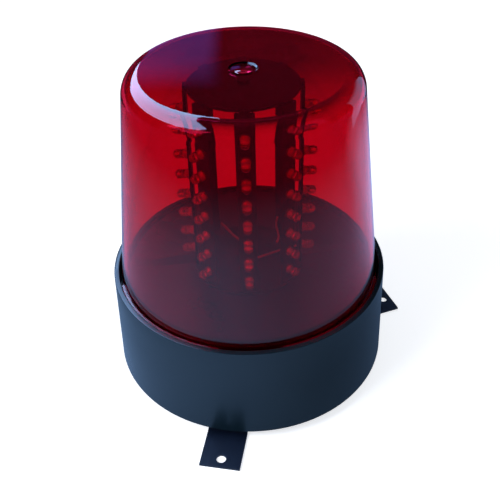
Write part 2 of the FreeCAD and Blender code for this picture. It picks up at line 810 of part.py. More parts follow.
def make_tower_harness():
    """The bundle of wires that rises from the terminals through the deck to the tower's lower plate."""
    body = new_body("tower_harness", dims["inlet_azimuth"])
    outline = new_sketch(body, "harness_outline", "XY_Plane", across=dims["lead_circle"], out=terminal_top)
    draw_circle(outline, 0, 0, dims["harness_radius"])
    pad(body, outline, lower_plate_top - terminal_top)
    return body


# Power inlet.


def make_dc_inlet():
    """A panel socket: flange in its seat, bush through the wall, and a bore for the plug."""
    body = new_body("dc_inlet", dims["inlet_azimuth"])
    section = new_sketch(body, "inlet_section", "XZ_Plane", across=inlet_back, up=dims["inlet_height"])
    seat = inlet_seat - inlet_back
    front = inlet_front - inlet_back
    floor = inlet_bore_floor - inlet_back
    draw_outline(section, [
        (0, 0),
        (0, dims["inlet_bush_radius"]),
        (seat, dims["inlet_bush_radius"]),
        (seat, dims["inlet_flange_radius"]),
        (front, dims["inlet_flange_radius"]),
        (front, dims["inlet_bore_radius"]),
        (floor, dims["inlet_bore_radius"]),
        (floor, 0),
    ])
    revolve(body, section, "H_Axis")
    return body


def make_inlet_pin():
    """The centre contact on the floor of the inlet's bore."""
    body = new_body("inlet_pin", dims["inlet_azimuth"])
    sketch = new_sketch(body, "pin_end", "YZ_Plane", up=dims["inlet_height"], out=inlet_bore_floor)
    draw_circle(sketch, 0, 0, dims["inlet_pin_radius"])
    pad(body, sketch, dims["inlet_pin_length"])
    return body


def make_inlet_nut():
    """The six-sided nut that clamps the inlet from inside."""
    body = new_body("inlet_nut", dims["inlet_azimuth"])
    nut = body.newObject("PartDesign::AdditivePrism", "nut")
    support = next(item for item in body.Origin.OriginFeatures if item.Role == "YZ_Plane")
    nut.AttachmentSupport = [(support, "")]
    nut.MapMode = "FlatFace"
    nut.Polygon = NUT_SIDES
    bind(nut, "Circumradius", dims["inlet_nut_radius"])
    bind(nut, "Height", dims["inlet_nut_thickness"])
    bind(nut, "AttachmentOffset.Base.y", dims["inlet_height"])
    bind(nut, "AttachmentOffset.Base.z", inlet_boss_back - dims["inlet_nut_thickness"])
    hole = new_sketch(body, "nut_hole", "YZ_Plane", up=dims["inlet_height"], out=inlet_boss_back)
    draw_circle(hole, 0, 0, dims["inlet_bush_radius"] + dims["screw_clearance"])
    cut(body, hole, dims["inlet_nut_thickness"])
    return body


def make_all():
    """Build every sub-part and give them back in order."""
    pieces = [make_base_housing(), make_bottom_plate(), make_bottom_plate_screws()]
    for place, name in enumerate(("mounting_foot_front", "mounting_foot_right", "mounting_foot_rear")):
        pieces.append(make_foot(name, dims["foot_azimuth"] + as_size(FULL_TURN) / dims["foot_count"] * place))
    pieces.append(make_foot_rivets())
    pieces += [make_dome(), make_dome_gasket()]
    pieces.append(make_tower_plate("tower_lower_plate", deck_top, True))
    pieces.append(make_tower_plate("tower_upper_plate", upper_plate_under, False))
    for number in range(1, DIMENSIONS["strip_count"] + 1):
        azimuth = strip_azimuth(number)
        pieces += [make_led_strip(number, azimuth), make_led_column(number, azimuth)]
    pieces += [make_tower_pillar(), make_tower_screws(), make_tower_leads(), make_tower_harness()]
    pieces += [make_control_board(), make_board_posts(), make_board_screws(), make_smoothing_capacitor()]
    pieces.append(make_board_part("pattern_chip", dims["chip_length"], dims["chip_width"], dims["chip_height"],
                                  as_size(0), dims["chip_offset"]))
    pieces.append(make_board_part("lead_terminals", dims["terminal_width"], dims["terminal_length"],
                                  dims["terminal_height"], dims["lead_circle"], as_size(0)))
    pieces += [make_dc_inlet(), make_inlet_pin(), make_inlet_nut()]
    return pieces


def check_all(pieces):
    """Stop if any feature failed or any sub-part is empty or broken."""
    doc.recompute()
    for thing in doc.Objects:
        if "Invalid" in thing.State or "Error" in thing.State:
            raise RuntimeError(f"{thing.Name} failed: {thing.State}")
    for piece in pieces:
        if piece.Shape.isNull() or not piece.Shape.isValid() or not piece.Shape.Solids:
            raise RuntimeError(f"{piece.Label} has no sound shape")


def write_all(pieces):
    """Write each sub-part to a file of its own."""
    os.makedirs("parts", exist_ok=True)
    for piece in pieces:
        piece.Shape.exportStep(os.path.join("parts", f"{piece.Label}.step"))
        print(f"{piece.Label}: {len(piece.Shape.Solids)} solids, {piece.Shape.Volume:.1f} mm3")


sub_parts = make_all()
check_all(sub_parts)
write_all(sub_parts)
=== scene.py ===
"""Looks of a red dome beacon light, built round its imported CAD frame.

Sizes of the object are in millimetres and turn to metres where a mesh is made. The stage is in metres. The
dome's axis is Z, the feet's underside is Z = 0, and the viewer stands on the -Y side.
"""
import logging
import math
from dataclasses import dataclass, replace
from enum import Enum
from typing import Any

import bmesh
import bpy
from mathutils import Matrix, Vector


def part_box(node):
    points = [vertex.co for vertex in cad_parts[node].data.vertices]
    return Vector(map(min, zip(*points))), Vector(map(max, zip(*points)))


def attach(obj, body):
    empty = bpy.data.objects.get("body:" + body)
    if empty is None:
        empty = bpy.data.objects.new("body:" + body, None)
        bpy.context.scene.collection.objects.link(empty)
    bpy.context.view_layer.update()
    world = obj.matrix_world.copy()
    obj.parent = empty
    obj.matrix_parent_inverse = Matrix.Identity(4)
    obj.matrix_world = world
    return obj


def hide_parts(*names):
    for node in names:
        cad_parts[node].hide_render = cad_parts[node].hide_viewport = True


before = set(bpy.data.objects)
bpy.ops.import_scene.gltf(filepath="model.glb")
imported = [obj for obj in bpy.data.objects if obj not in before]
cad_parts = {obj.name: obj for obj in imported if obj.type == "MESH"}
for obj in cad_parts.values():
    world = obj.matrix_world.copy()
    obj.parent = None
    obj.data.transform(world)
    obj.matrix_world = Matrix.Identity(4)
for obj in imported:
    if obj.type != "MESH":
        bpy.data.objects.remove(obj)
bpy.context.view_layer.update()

MM = 0.001
SMOOTH_ANGLE = math.radians(32.0)
MERGE_DISTANCE = 1e-6
WHITE = "#ffffff"

# How round a wire is drawn, and how finely it follows its path.
WIRE_ROUNDNESS = 2
WIRE_ORDER = 3
WIRE_STEPS = 8

# Finer layers in a finish's clouds, and the part of their range over which it changes.
MOTTLE_DETAIL = 4.0
MOTTLE_RANGE = (0.3, 0.75)
GLOSS_DETAIL = 6.0
GLOSS_RANGE = (0.3, 0.7)
GRAIN_DETAIL = 3.0
# Size of the patches of gloss, in times that of the mottling.
GLOSS_SPREAD = 2.0

log = logging.getLogger("beacon")

Point = tuple[float, float]
Place = tuple[float, float, float]


class Body(Enum):
    """The CAD bodies that pieces ride on."""

    BASE = "base"
    DOME = "dome"


class Slot(Enum):
    """The record's material slots, one of which is given with each new piece."""

    HOUSING = "black_abs"
    DOME = "red_dome"
    LED = "red_led"
    STEEL = "zinc_steel"
    FOOT = "black_steel"
    LEAD = "red_wire"
    CIRCUIT = "black_circuit"


def linear(hex_colour: str) -> tuple[float, float, float, float]:
    """Turn an sRGB hex colour to the linear colour that shaders take.

    Args:
        hex_colour: A colour such as "#d82555".

    Returns:
        Red, green, blue and an alpha of one.
    """
    channels = [int(hex_colour[place:place + 2], 16) / 255 for place in (1, 3, 5)]
    red, green, blue = (c / 12.92 if c <= 0.04045 else ((c + 0.055) / 1.055) ** 2.4 for c in channels)
    return red, green, blue, 1.0


def add_node(tree: bpy.types.NodeTree, kind: str, values: dict | None = None, links: dict | None = None,
             **settings: Any) -> bpy.types.Node:
    """Add a node with its settings, its input values and its incoming links.

    Args:
        tree: The node tree that gets the node.
        kind: The node's type name.
        values: Input values by socket name or number.
        links: Output sockets to join, by input name or number.
        **settings: Properties of the node itself.

    Returns:
        The new node.
    """
    node = tree.nodes.new(kind)
    for name, value in settings.items():
        setattr(node, name, value)
    for name, value in (values or {}).items():
        node.inputs[name].default_value = value
    for name, socket in (links or {}).items():
        tree.links.new(socket, node.inputs[name])
    return node


def empty_tree(owner: bpy.types.Material | bpy.types.World) -> bpy.types.NodeTree:
    """Give a material or a world a node tree with nothing in it.

    Args:
        owner: The new material or world.

    Returns:
        Its node tree.
    """
    owner.use_nodes = True
    owner.node_tree.nodes.clear()
    return owner.node_tree


def per_metre(size_mm: float) -> float:
    """Texture scale at which a pattern's features are about so many millimetres across."""
    return 1.0 / (size_mm * MM)


@dataclass(frozen=True)
class Surface:
    """A material under construction.

    Attributes:
        tree: Its node tree.
        place: Object coordinates.
        shader: Its surface shader.
    """

    tree: bpy.types.NodeTree
    place: bpy.types.NodeSocket
    shader: bpy.types.Node

    def feed(self, name: str, socket: bpy.types.NodeSocket) -> None:
        """Join a socket to the shader's input of that name."""
        self.tree.links.new(socket, self.shader.inputs[name])


@dataclass(frozen=True)
class Finish:
    """A real material's surface: two close tones, a gloss that varies, and a relief.

    Attributes:
        name: The material's common name and how its surface was made.
        tone: The main colour.
        second_tone: The colour of its mottling.
        mottle_mm: Size of the mottling.
        roughness: Lowest and highest roughness.
        relief_mm: Size of the surface grain.
        relief_depth_mm: Depth of the surface grain.
        metallic: One for bare metal.
        ior: Refractive index, left at the default for metal.
        transmission: Share of light that goes through.
    """

    name: str
    tone: str
    second_tone: str
    mottle_mm: float = 12.0
    roughness: tuple[float, float] = (0.35, 0.5)
    relief_mm: float = 0.8
    relief_depth_mm: float = 0.01
    metallic: float = 0.0
    ior: float = 1.5
    transmission: float = 0.0

    def material(self) -> bpy.types.Material:
        """Build the material, or find the one that was built before.

        Returns:
            The material.
        """
        known = bpy.data.materials.get(self.name)
        if known is not None:
            return known
        material = bpy.data.materials.new(self.name)
        tree = empty_tree(material)
        place = add_node(tree, "ShaderNodeTexCoord").outputs["Object"]
        shader = add_node(tree, "ShaderNodeBsdfPrincipled", {
            "Metallic": self.metallic, "IOR": self.ior, "Transmission Weight": self.transmission})
        surface = Surface(tree, place, shader)
        self.colour(surface)
        self.gloss(surface)
        self.relief(surface)
        add_node(tree, "ShaderNodeOutputMaterial", links={"Surface": shader.outputs["BSDF"]})
        return material

    def colour(self, surface: Surface) -> None:
        """Mottle the colour between the two tones.

        Args:
            surface: The material under construction.
        """
        cloud = add_node(surface.tree, "ShaderNodeTexNoise",
                         {"Scale": per_metre(self.mottle_mm), "Detail": MOTTLE_DETAIL},
                         {"Vector": surface.place})
        ramp = add_node(surface.tree, "ShaderNodeValToRGB", links={"Fac": cloud.outputs["Fac"]})
        tones = (self.tone, self.second_tone)
        for stop, position, tone in zip(ramp.color_ramp.elements, MOTTLE_RANGE, tones):
            stop.position = position
            stop.color = linear(tone)
        surface.feed("Base Color", ramp.outputs["Color"])

    def gloss(self, surface: Surface) -> None:
        """Vary the roughness in soft patches, as handling does.

        Args:
            surface: The material under construction.
        """
        patches = add_node(surface.tree, "ShaderNodeTexNoise",
                           {"Scale": per_metre(self.mottle_mm * GLOSS_SPREAD), "Detail": GLOSS_DETAIL},
                           {"Vector": surface.place})
        start, end = GLOSS_RANGE
        low, high = self.roughness
        spread = add_node(surface.tree, "ShaderNodeMapRange",
                          {"From Min": start, "From Max": end, "To Min": low, "To Max": high},
                          {"Value": patches.outputs["Fac"]})
        surface.feed("Roughness", spread.outputs["Result"])

    def relief(self, surface: Surface) -> None:
        """Raise the surface grain.

        Args:
            surface: The material under construction.
        """
        grain = add_node(surface.tree, "ShaderNodeTexNoise",
                         {"Scale": per_metre(self.relief_mm), "Detail": GRAIN_DETAIL},
                         {"Vector": surface.place})
        bump = add_node(surface.tree, "ShaderNodeBump",
                        {"Strength": 1.0, "Distance": self.relief_depth_mm * MM},
                        {"Height": grain.outputs["Fac"]})
        surface.feed("Normal", bump.outputs["Normal"])


@dataclass(frozen=True)
class CircuitFinish(Finish):
    """Solder mask over etched copper, whose pads show through it in the second tone.

    Attributes:
        pad_pitch_mm: Distance from pad to pad.
        pad_share: Reach of a pad as a share of that distance.
    """

    pad_pitch_mm: float = 2.6
    pad_share: float = 0.32

    def colour(self, surface: Surface) -> None:
        """Draw the pads over the mask's tone.

        Args:
            surface: The material under construction.
        """
        cells = add_node(surface.tree, "ShaderNodeTexVoronoi", {"Scale": per_metre(self.pad_pitch_mm)},
                         {"Vector": surface.place}, distance="MANHATTAN")
        ramp = add_node(surface.tree, "ShaderNodeValToRGB", links={"Fac": cells.outputs["Distance"]})
        ramp.color_ramp.interpolation = "CONSTANT"
        pad, mask = ramp.color_ramp.elements
        pad.color = linear(self.second_tone)
        mask.position = self.pad_share
        mask.color = linear(self.tone)
        surface.feed("Base Color", ramp.outputs["Color"])


# Injection-moulded clear acrylic, dyed red: light that crosses one wall comes out crimson, the skin is
# polished, and the flow of the melt leaves long faint waves.
RED_ACRYLIC = Finish("red_acrylic_moulded", "#d6204e", "#d02048", mottle_mm=45.0, roughness=(0.0, 0.03),
                     relief_mm=38.0, relief_depth_mm=0.05, ior=1.49, transmission=1.0)
# The same acrylic at its lugs, with less transmission, so that its diffuse red is a painted glow in place of
# light that runs inside the wall.
LUG_ACRYLIC_PAINTED_GLOW = replace(RED_ACRYLIC, name="red_acrylic_painted_edge_glow", tone="#e01434", second_tone="#d21030",
                      roughness=(0.03, 0.08), transmission=0.87)
# The same acrylic inside the dome's foot, with a little less transmission: a painted deep red glow in a ring.
FOOT_ACRYLIC_PAINTED_GLOW = replace(LUG_ACRYLIC_PAINTED_GLOW, name="red_acrylic_painted_foot_glow", transmission=0.96)
# Moulded black ABS: blue-black, satin, with a spark-eroded grain drawn coarser than life so that it shows.
BLACK_ABS = Finish("black_abs_moulded", "#0a1a22", "#0d1e27", mottle_mm=30.0, roughness=(0.26, 0.36),
                   relief_mm=0.9, relief_depth_mm=0.008)
# Powder-coated mild steel: near black, with the coat's low orange peel.
BLACK_STEEL = Finish("mild_steel_powder_coated", "#0c1424", "#10192b", mottle_mm=9.0, roughness=(0.34, 0.46),
                     relief_mm=1.6, relief_depth_mm=0.02)
# Bright zinc plate: silver with a bluish bloom.
ZINC = Finish("steel_zinc_plated", "#b9bcc0", "#a7abb2", mottle_mm=3.0, roughness=(0.22, 0.4),
              relief_mm=0.5, relief_depth_mm=0.004, metallic=1.0)
# Black oxide on steel: a dull blue-black skin.
BLACK_OXIDE = Finish("steel_black_oxide", "#1a1b1e", "#222327", mottle_mm=2.0, roughness=(0.35, 0.5),
                     metallic=0.6)
# Turned aluminium: pale grey with fine tool marks.
ALUMINIUM = Finish("aluminium_turned", "#c4c6c9", "#b2b5b9", mottle_mm=4.0, roughness=(0.25, 0.4),
                   relief_mm=0.4, relief_depth_mm=0.004, metallic=1.0)
# Moulded rubber: dull black.
RUBBER = Finish("nitrile_rubber_moulded", "#0b0b0c", "#121213", mottle_mm=5.0, roughness=(0.6, 0.8))
# Tinted, slightly milky red epoxy of a round LED: a smooth cast lens that glows where light strikes it.
LED_EPOXY = Finish("led_epoxy_cast", "#ff7c86", "#f8707c", mottle_mm=6.0, roughness=(0.03, 0.06),
                   relief_mm=4.0, relief_depth_mm=0.004, ior=1.54, transmission=0.86)
# Silver-plated lead frame inside an LED: pale glints.
LEAD_FRAME = Finish("lead_frame_silver_plated", "#d5d3cd", "#c4c1ba", mottle_mm=1.5, roughness=(0.3, 0.45),
                    metallic=1.0)
# PVC wire insulation: dull red.
RED_PVC = Finish("pvc_insulation_red", "#b3121f", "#a50f1b", mottle_mm=6.0, roughness=(0.4, 0.55))
# Glass-epoxy board under black solder mask: dull black with faint pads.
BLACK_BOARD = CircuitFinish("circuit_board_black_mask", "#0b0c0f", "#1c2124", roughness=(0.55, 0.7), ior=1.4)
# Glass-epoxy board under green solder mask: deep green with lighter pads.
GREEN_BOARD = CircuitFinish("circuit_board_green_mask", "#0c3a1c", "#1c5a30", roughness=(0.3, 0.42))
# Moulded epoxy of a chip, and black phenolic of the inlet: dull dark grey.
CHIP = Finish("chip_epoxy_moulded", "#151517", "#1c1c1f", mottle_mm=2.0, roughness=(0.5, 0.65))
# Shrunk PVC sleeve of a capacitor: glossy dark blue.
SLEEVE = Finish("capacitor_sleeve_shrunk", "#141b3c", "#1a2146", mottle_mm=5.0, roughness=(0.2, 0.3))
# Moulded polyamide of the terminals: satin green.
TERMINAL = Finish("polyamide_green_moulded", "#1c6a33", "#22753a", mottle_mm=3.0, roughness=(0.4, 0.5))
# Turned brass of the inlet's contact: warm yellow.
BRASS = Finish("brass_turned", "#c9a24e", "#b99244", mottle_mm=2.0, roughness=(0.2, 0.35), metallic=1.0)

CAD_FINISHES: dict[str, Finish] = {
    "bottom_plate": BLACK_STEEL,
    "dome_gasket": RUBBER,
    "tower_lower_plate": BLACK_BOARD,
    "tower_pillar": ALUMINIUM,
    "tower_screws": BLACK_OXIDE,
    "tower_harness": RED_PVC,
    "control_board": GREEN_BOARD,
    "board_posts": ALUMINIUM,
    "board_screws": ZINC,
    "smoothing_capacitor": SLEEVE,
    "pattern_chip": CHIP,
    "lead_terminals": TERMINAL,
    "dc_inlet": CHIP,
    "inlet_pin": BRASS,
    "inlet_nut": ZINC,
}


def add_object(name: str, data: bpy.types.ID) -> bpy.types.Object:
    """Put a mesh, curve, lamp or camera into the scene at the origin, unturned and unscaled.

    Args:
        name: The new object's name.
        data: What it shows.

    Returns:
        The new object.
    """
    piece = bpy.data.objects.new(name, data)
    bpy.context.scene.collection.objects.link(piece)
    return piece


def smooth(mesh: bpy.types.Mesh) -> None:
    """Shade a mesh smooth, and leave its sharp edges sharp."""
    mesh.shade_smooth()
    mesh.set_sharp_from_angle(angle=SMOOTH_ANGLE)


def evaluated_mesh(piece: bpy.types.Object) -> bpy.types.Mesh:
    """A plain mesh of a curve, or of a piece with modifiers."""
    graph = bpy.context.evaluated_depsgraph_get()
    return bpy.data.meshes.new_from_object(piece.evaluated_get(graph), depsgraph=graph)


def add_ring(build: bmesh.types.BMesh, azimuths: list[float],
             points: list[Point]) -> list[bmesh.types.BMVert]:
    """Add a ring of points round the axis, each at its own radius and height.

    Args:
        build: The mesh under construction.
        azimuths: Directions in radians.
        points: Radius and height in millimetres for each direction.

    Returns:
        The ring's points in order.
    """
    return [build.verts.new((radius * math.cos(a) * MM, radius * math.sin(a) * MM, height * MM))
            for a, (radius, height) in zip(azimuths, points)]


def join_rings(build: bmesh.types.BMesh, rings: list[list[bmesh.types.BMVert]]) -> None:
    """Join each ring of points to the next, with a fan where one is a single point.

    Args:
        build: The mesh under construction.
        rings: Rings in order, each of one point or of the same number of points.
    """
    for lower, upper in zip(rings, rings[1:]):
        columns = max(len(lower), len(upper))
        for place in range(columns):
            following = (place + 1) % columns
            corners = [lower[place % len(lower)], lower[following % len(lower)],
                       upper[following % len(upper)], upper[place % len(upper)]]
            build.faces.new(list(dict.fromkeys(corners)))


def close_mesh(name: str, build: bmesh.types.BMesh) -> bpy.types.Mesh:
    """Turn the faces outwards and make a smooth mesh.

    Args:
        name: The mesh's name.
        build: The mesh under construction, which is freed.

    Returns:
        The finished mesh.
    """
    bmesh.ops.recalc_face_normals(build, faces=build.faces)
    mesh = bpy.data.meshes.new(name)
    build.to_mesh(mesh)
    build.free()
    smooth(mesh)
    return mesh


def lathe(name: str, profile: list[Point], segments: int, along_x: bool = False) -> bpy.types.Mesh:
    """Turn a closed half-profile into a watertight mesh.

    Args:
        name: The mesh's name.
        profile: Radius and height pairs in millimetres, whose first and last points lie on the axis.
        segments: Number of columns round the axis.
        along_x: Whether the axis is X instead of Z.

    Returns:
        The mesh, in metres.
    """
    build = bmesh.new()
    turns = [2 * math.pi * column / segments for column in range(segments)]
    rings = []
    for point in profile:
        on_axis = point[0] == 0.0
        azimuths = turns[:1] if on_axis else turns
        rings.append(add_ring(build, azimuths, [point] * len(azimuths)))
    join_rings(build, rings)
    if along_x:
        bmesh.ops.transform(build, matrix=Matrix.Rotation(math.pi / 2, 4, "Y"), verts=build.verts)
    return close_mesh(name, build)


def arc(centre: Point, radius: float, start: float, end: float, steps: int) -> list[Point]:
    """Points along an arc of a profile.

    Args:
        centre: Radius and height of the arc's centre.
        radius: The arc's radius.
        start: First angle in degrees, from outwards towards up.
        end: Last angle in degrees.
        steps: Number of steps.

    Returns:
        The points in order, both ends included.
    """
    angles = [math.radians(start + (end - start) * place / steps) for place in range(steps + 1)]
    return [(centre[0] + radius * math.cos(a), centre[1] + radius * math.sin(a)) for a in angles]


def tubes(name: str, paths: tuple[tuple[Place, ...], ...], radius: float) -> bpy.types.Object:
    """Draw smooth round wires along paths.

    Args:
        name: The new piece's name.
        paths: The points that each wire follows, in millimetres.
        radius: The wires' radius in millimetres.

    Returns:
        The new piece.
    """
    curve = bpy.data.curves.new(name, "CURVE")
    curve.dimensions = "3D"
    curve.bevel_depth = radius * MM
    curve.bevel_resolution = WIRE_ROUNDNESS
    curve.use_fill_caps = True
    for path in paths:
        line = curve.splines.new("NURBS")
        line.points.add(len(path) - 1)
        for point, place in zip(line.points, path):
            point.co = (*(value * MM for value in place), 1.0)
        line.use_endpoint_u = True
        line.order_u = WIRE_ORDER
        line.resolution_u = WIRE_STEPS
    drawn = add_object(name, curve)
    mesh = evaluated_mesh(drawn)
    bpy.data.objects.remove(drawn)
    bpy.data.curves.remove(curve)
    build = bmesh.new()
    build.from_mesh(mesh)
    bpy.data.meshes.remove(mesh)
    bmesh.ops.remove_doubles(build, verts=build.verts, dist=MERGE_DISTANCE)
    return add_object(name, close_mesh(name, build))


def smooth_copy(node: str, name: str) -> bpy.types.Object:
    """Copy a CAD node whose shape is right, with its triangles merged and its curves shaded smooth.

    Args:
        node: The CAD node.
        name: The new piece's name.

    Returns:
        The new piece.
    """
    build = bmesh.new()
    build.from_mesh(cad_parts[node].data)
    bmesh.ops.remove_doubles(build, verts=build.verts, dist=MERGE_DISTANCE)
    mesh = bpy.data.meshes.new(name)
    build.to_mesh(mesh)
    build.free()
    mesh.materials.clear()
    smooth(mesh)
    return add_object(name, mesh)


def settle(piece: bpy.types.Object, finish: Finish | None, body: Body, slot: Slot, *nodes: str) -> None:
    """Dress a piece, hang it on the CAD body that it moves with, and hide the CAD nodes that it replaces.

    Args:
        piece: The finished piece.
        finish: Its material, or None where the mesh has one already.
        body: The CAD body that it moves with.
        slot: The record's material slot; not used.
        *nodes: The CAD nodes that it replaces.
    """
    if finish is not None:
        piece.data.materials.append(finish.material())
    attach(piece, body.value)
    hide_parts(*nodes)
    log.info("%s: %d faces", piece.name, len(piece.data.polygons))


def dress_nodes(finishes: dict[str, Finish]) -> None:
    """Give CAD nodes that stay in view their real material.

    Args:
        finishes: The finish of each node.
    """
    for node, finish in finishes.items():
        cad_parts[node].material_slots[0].material = finish.material()


class RingRepeat:
    """A Geometry Nodes tree that sets copies of a mesh round the vertical axis, in rows.

    Each of its sums has a name, an operation, and terms that are numbers or names of inputs and sums.
    """

    INPUTS: tuple[tuple[str, str], ...] = (
        ("Copies Round", "NodeSocketInt"),
        ("Rows", "NodeSocketInt"),
        ("Radius", "NodeSocketFloat"),
        ("Radius Step", "NodeSocketFloat"),
        ("Height", "NodeSocketFloat"),
        ("Height Step", "NodeSocketFloat"),
        ("First Azimuth", "NodeSocketFloat"),
        ("Material", "NodeSocketMaterial"),
    )
    SUMS: tuple[tuple[str | float, ...], ...] = (
        ("count", "MULTIPLY", "Copies Round", "Rows"),
        ("row", "FLOORED_MODULO", "index", "Rows"),
        ("rows before", "DIVIDE", "index", "Rows"),
        ("copy", "FLOOR", "rows before"),
        ("turn step", "DIVIDE", 2 * math.pi, "Copies Round"),
        ("turn", "MULTIPLY", "copy", "turn step"),
        ("azimuth", "ADD", "First Azimuth", "turn"),
        ("reach", "MULTIPLY", "row", "Radius Step"),
        ("row radius", "ADD", "Radius", "reach"),
        ("rise", "MULTIPLY", "row", "Height Step"),
        ("row height", "ADD", "Height", "rise"),
        ("cosine", "COSINE", "azimuth"),
        ("across", "MULTIPLY", "row radius", "cosine"),
        ("sine", "SINE", "azimuth"),
        ("along", "MULTIPLY", "row radius", "sine"),
    )

    def __init__(self) -> None:
        """Build the tree."""
        self.tree = bpy.data.node_groups.new("copies_round_axis", "GeometryNodeTree")
        self.tree.is_modifier = True
        sockets = self.tree.interface
        sockets.new_socket("Geometry", in_out="INPUT", socket_type="NodeSocketGeometry")
        self.keys = {name: sockets.new_socket(name, in_out="INPUT", socket_type=kind).identifier
                     for name, kind in self.INPUTS}
        sockets.new_socket("Geometry", in_out="OUTPUT", socket_type="NodeSocketGeometry")
        given = add_node(self.tree, "NodeGroupInput").outputs
        known = {name: given[name] for name in self.keys}
        known["index"] = add_node(self.tree, "GeometryNodeInputIndex").outputs["Index"]
        for name, operation, *terms in self.SUMS:
            values = {place: term for place, term in enumerate(terms) if term not in known}
            links = {place: known[term] for place, term in enumerate(terms) if term in known}
            known[name] = add_node(self.tree, "ShaderNodeMath", values, links, operation=operation).outputs[0]
        place = add_node(self.tree, "ShaderNodeCombineXYZ", links={
            "X": known["across"], "Y": known["along"], "Z": known["row height"]})
        turn = add_node(self.tree, "ShaderNodeCombineXYZ", links={"Z": known["azimuth"]})
        points = add_node(self.tree, "GeometryNodePoints", links={
            "Count": known["count"], "Position": place.outputs[0]})
        copies = add_node(self.tree, "GeometryNodeInstanceOnPoints", links={
            "Points": points.outputs[0], "Instance": given["Geometry"], "Rotation": turn.outputs[0]})
        real = add_node(self.tree, "GeometryNodeRealizeInstances", links={"Geometry": copies.outputs[0]})
        dressed = add_node(self.tree, "GeometryNodeSetMaterial", links={
            "Geometry": real.outputs[0], "Material": given["Material"]})
        add_node(self.tree, "NodeGroupOutput", links={"Geometry": dressed.outputs[0]})

    def apply(self, name: str, pattern: bpy.types.Mesh, finish: Finish, **values: float) -> bpy.types.Object:
        """Repeat a mesh and turn the result to a plain mesh.

        Args:
            name: The new piece's name.
            pattern: The mesh to repeat, which points along X or Z from the origin.
            finish: The material of every copy.
            **values: The tree's inputs by name, with lengths in metres and angles in radians.

        Returns:
            The new piece.
        """
        piece = add_object(name, pattern)
        modifier = piece.modifiers.new("copies", "NODES")
        modifier.node_group = self.tree
        for key, value in values.items():
            modifier[self.keys[key.replace("_", " ").title()]] = value
        modifier[self.keys["Material"]] = finish.material()
        mesh = evaluated_mesh(piece)
        piece.modifiers.clear()
        piece.data = mesh
        mesh.name = name
        smooth(mesh)
        return piece


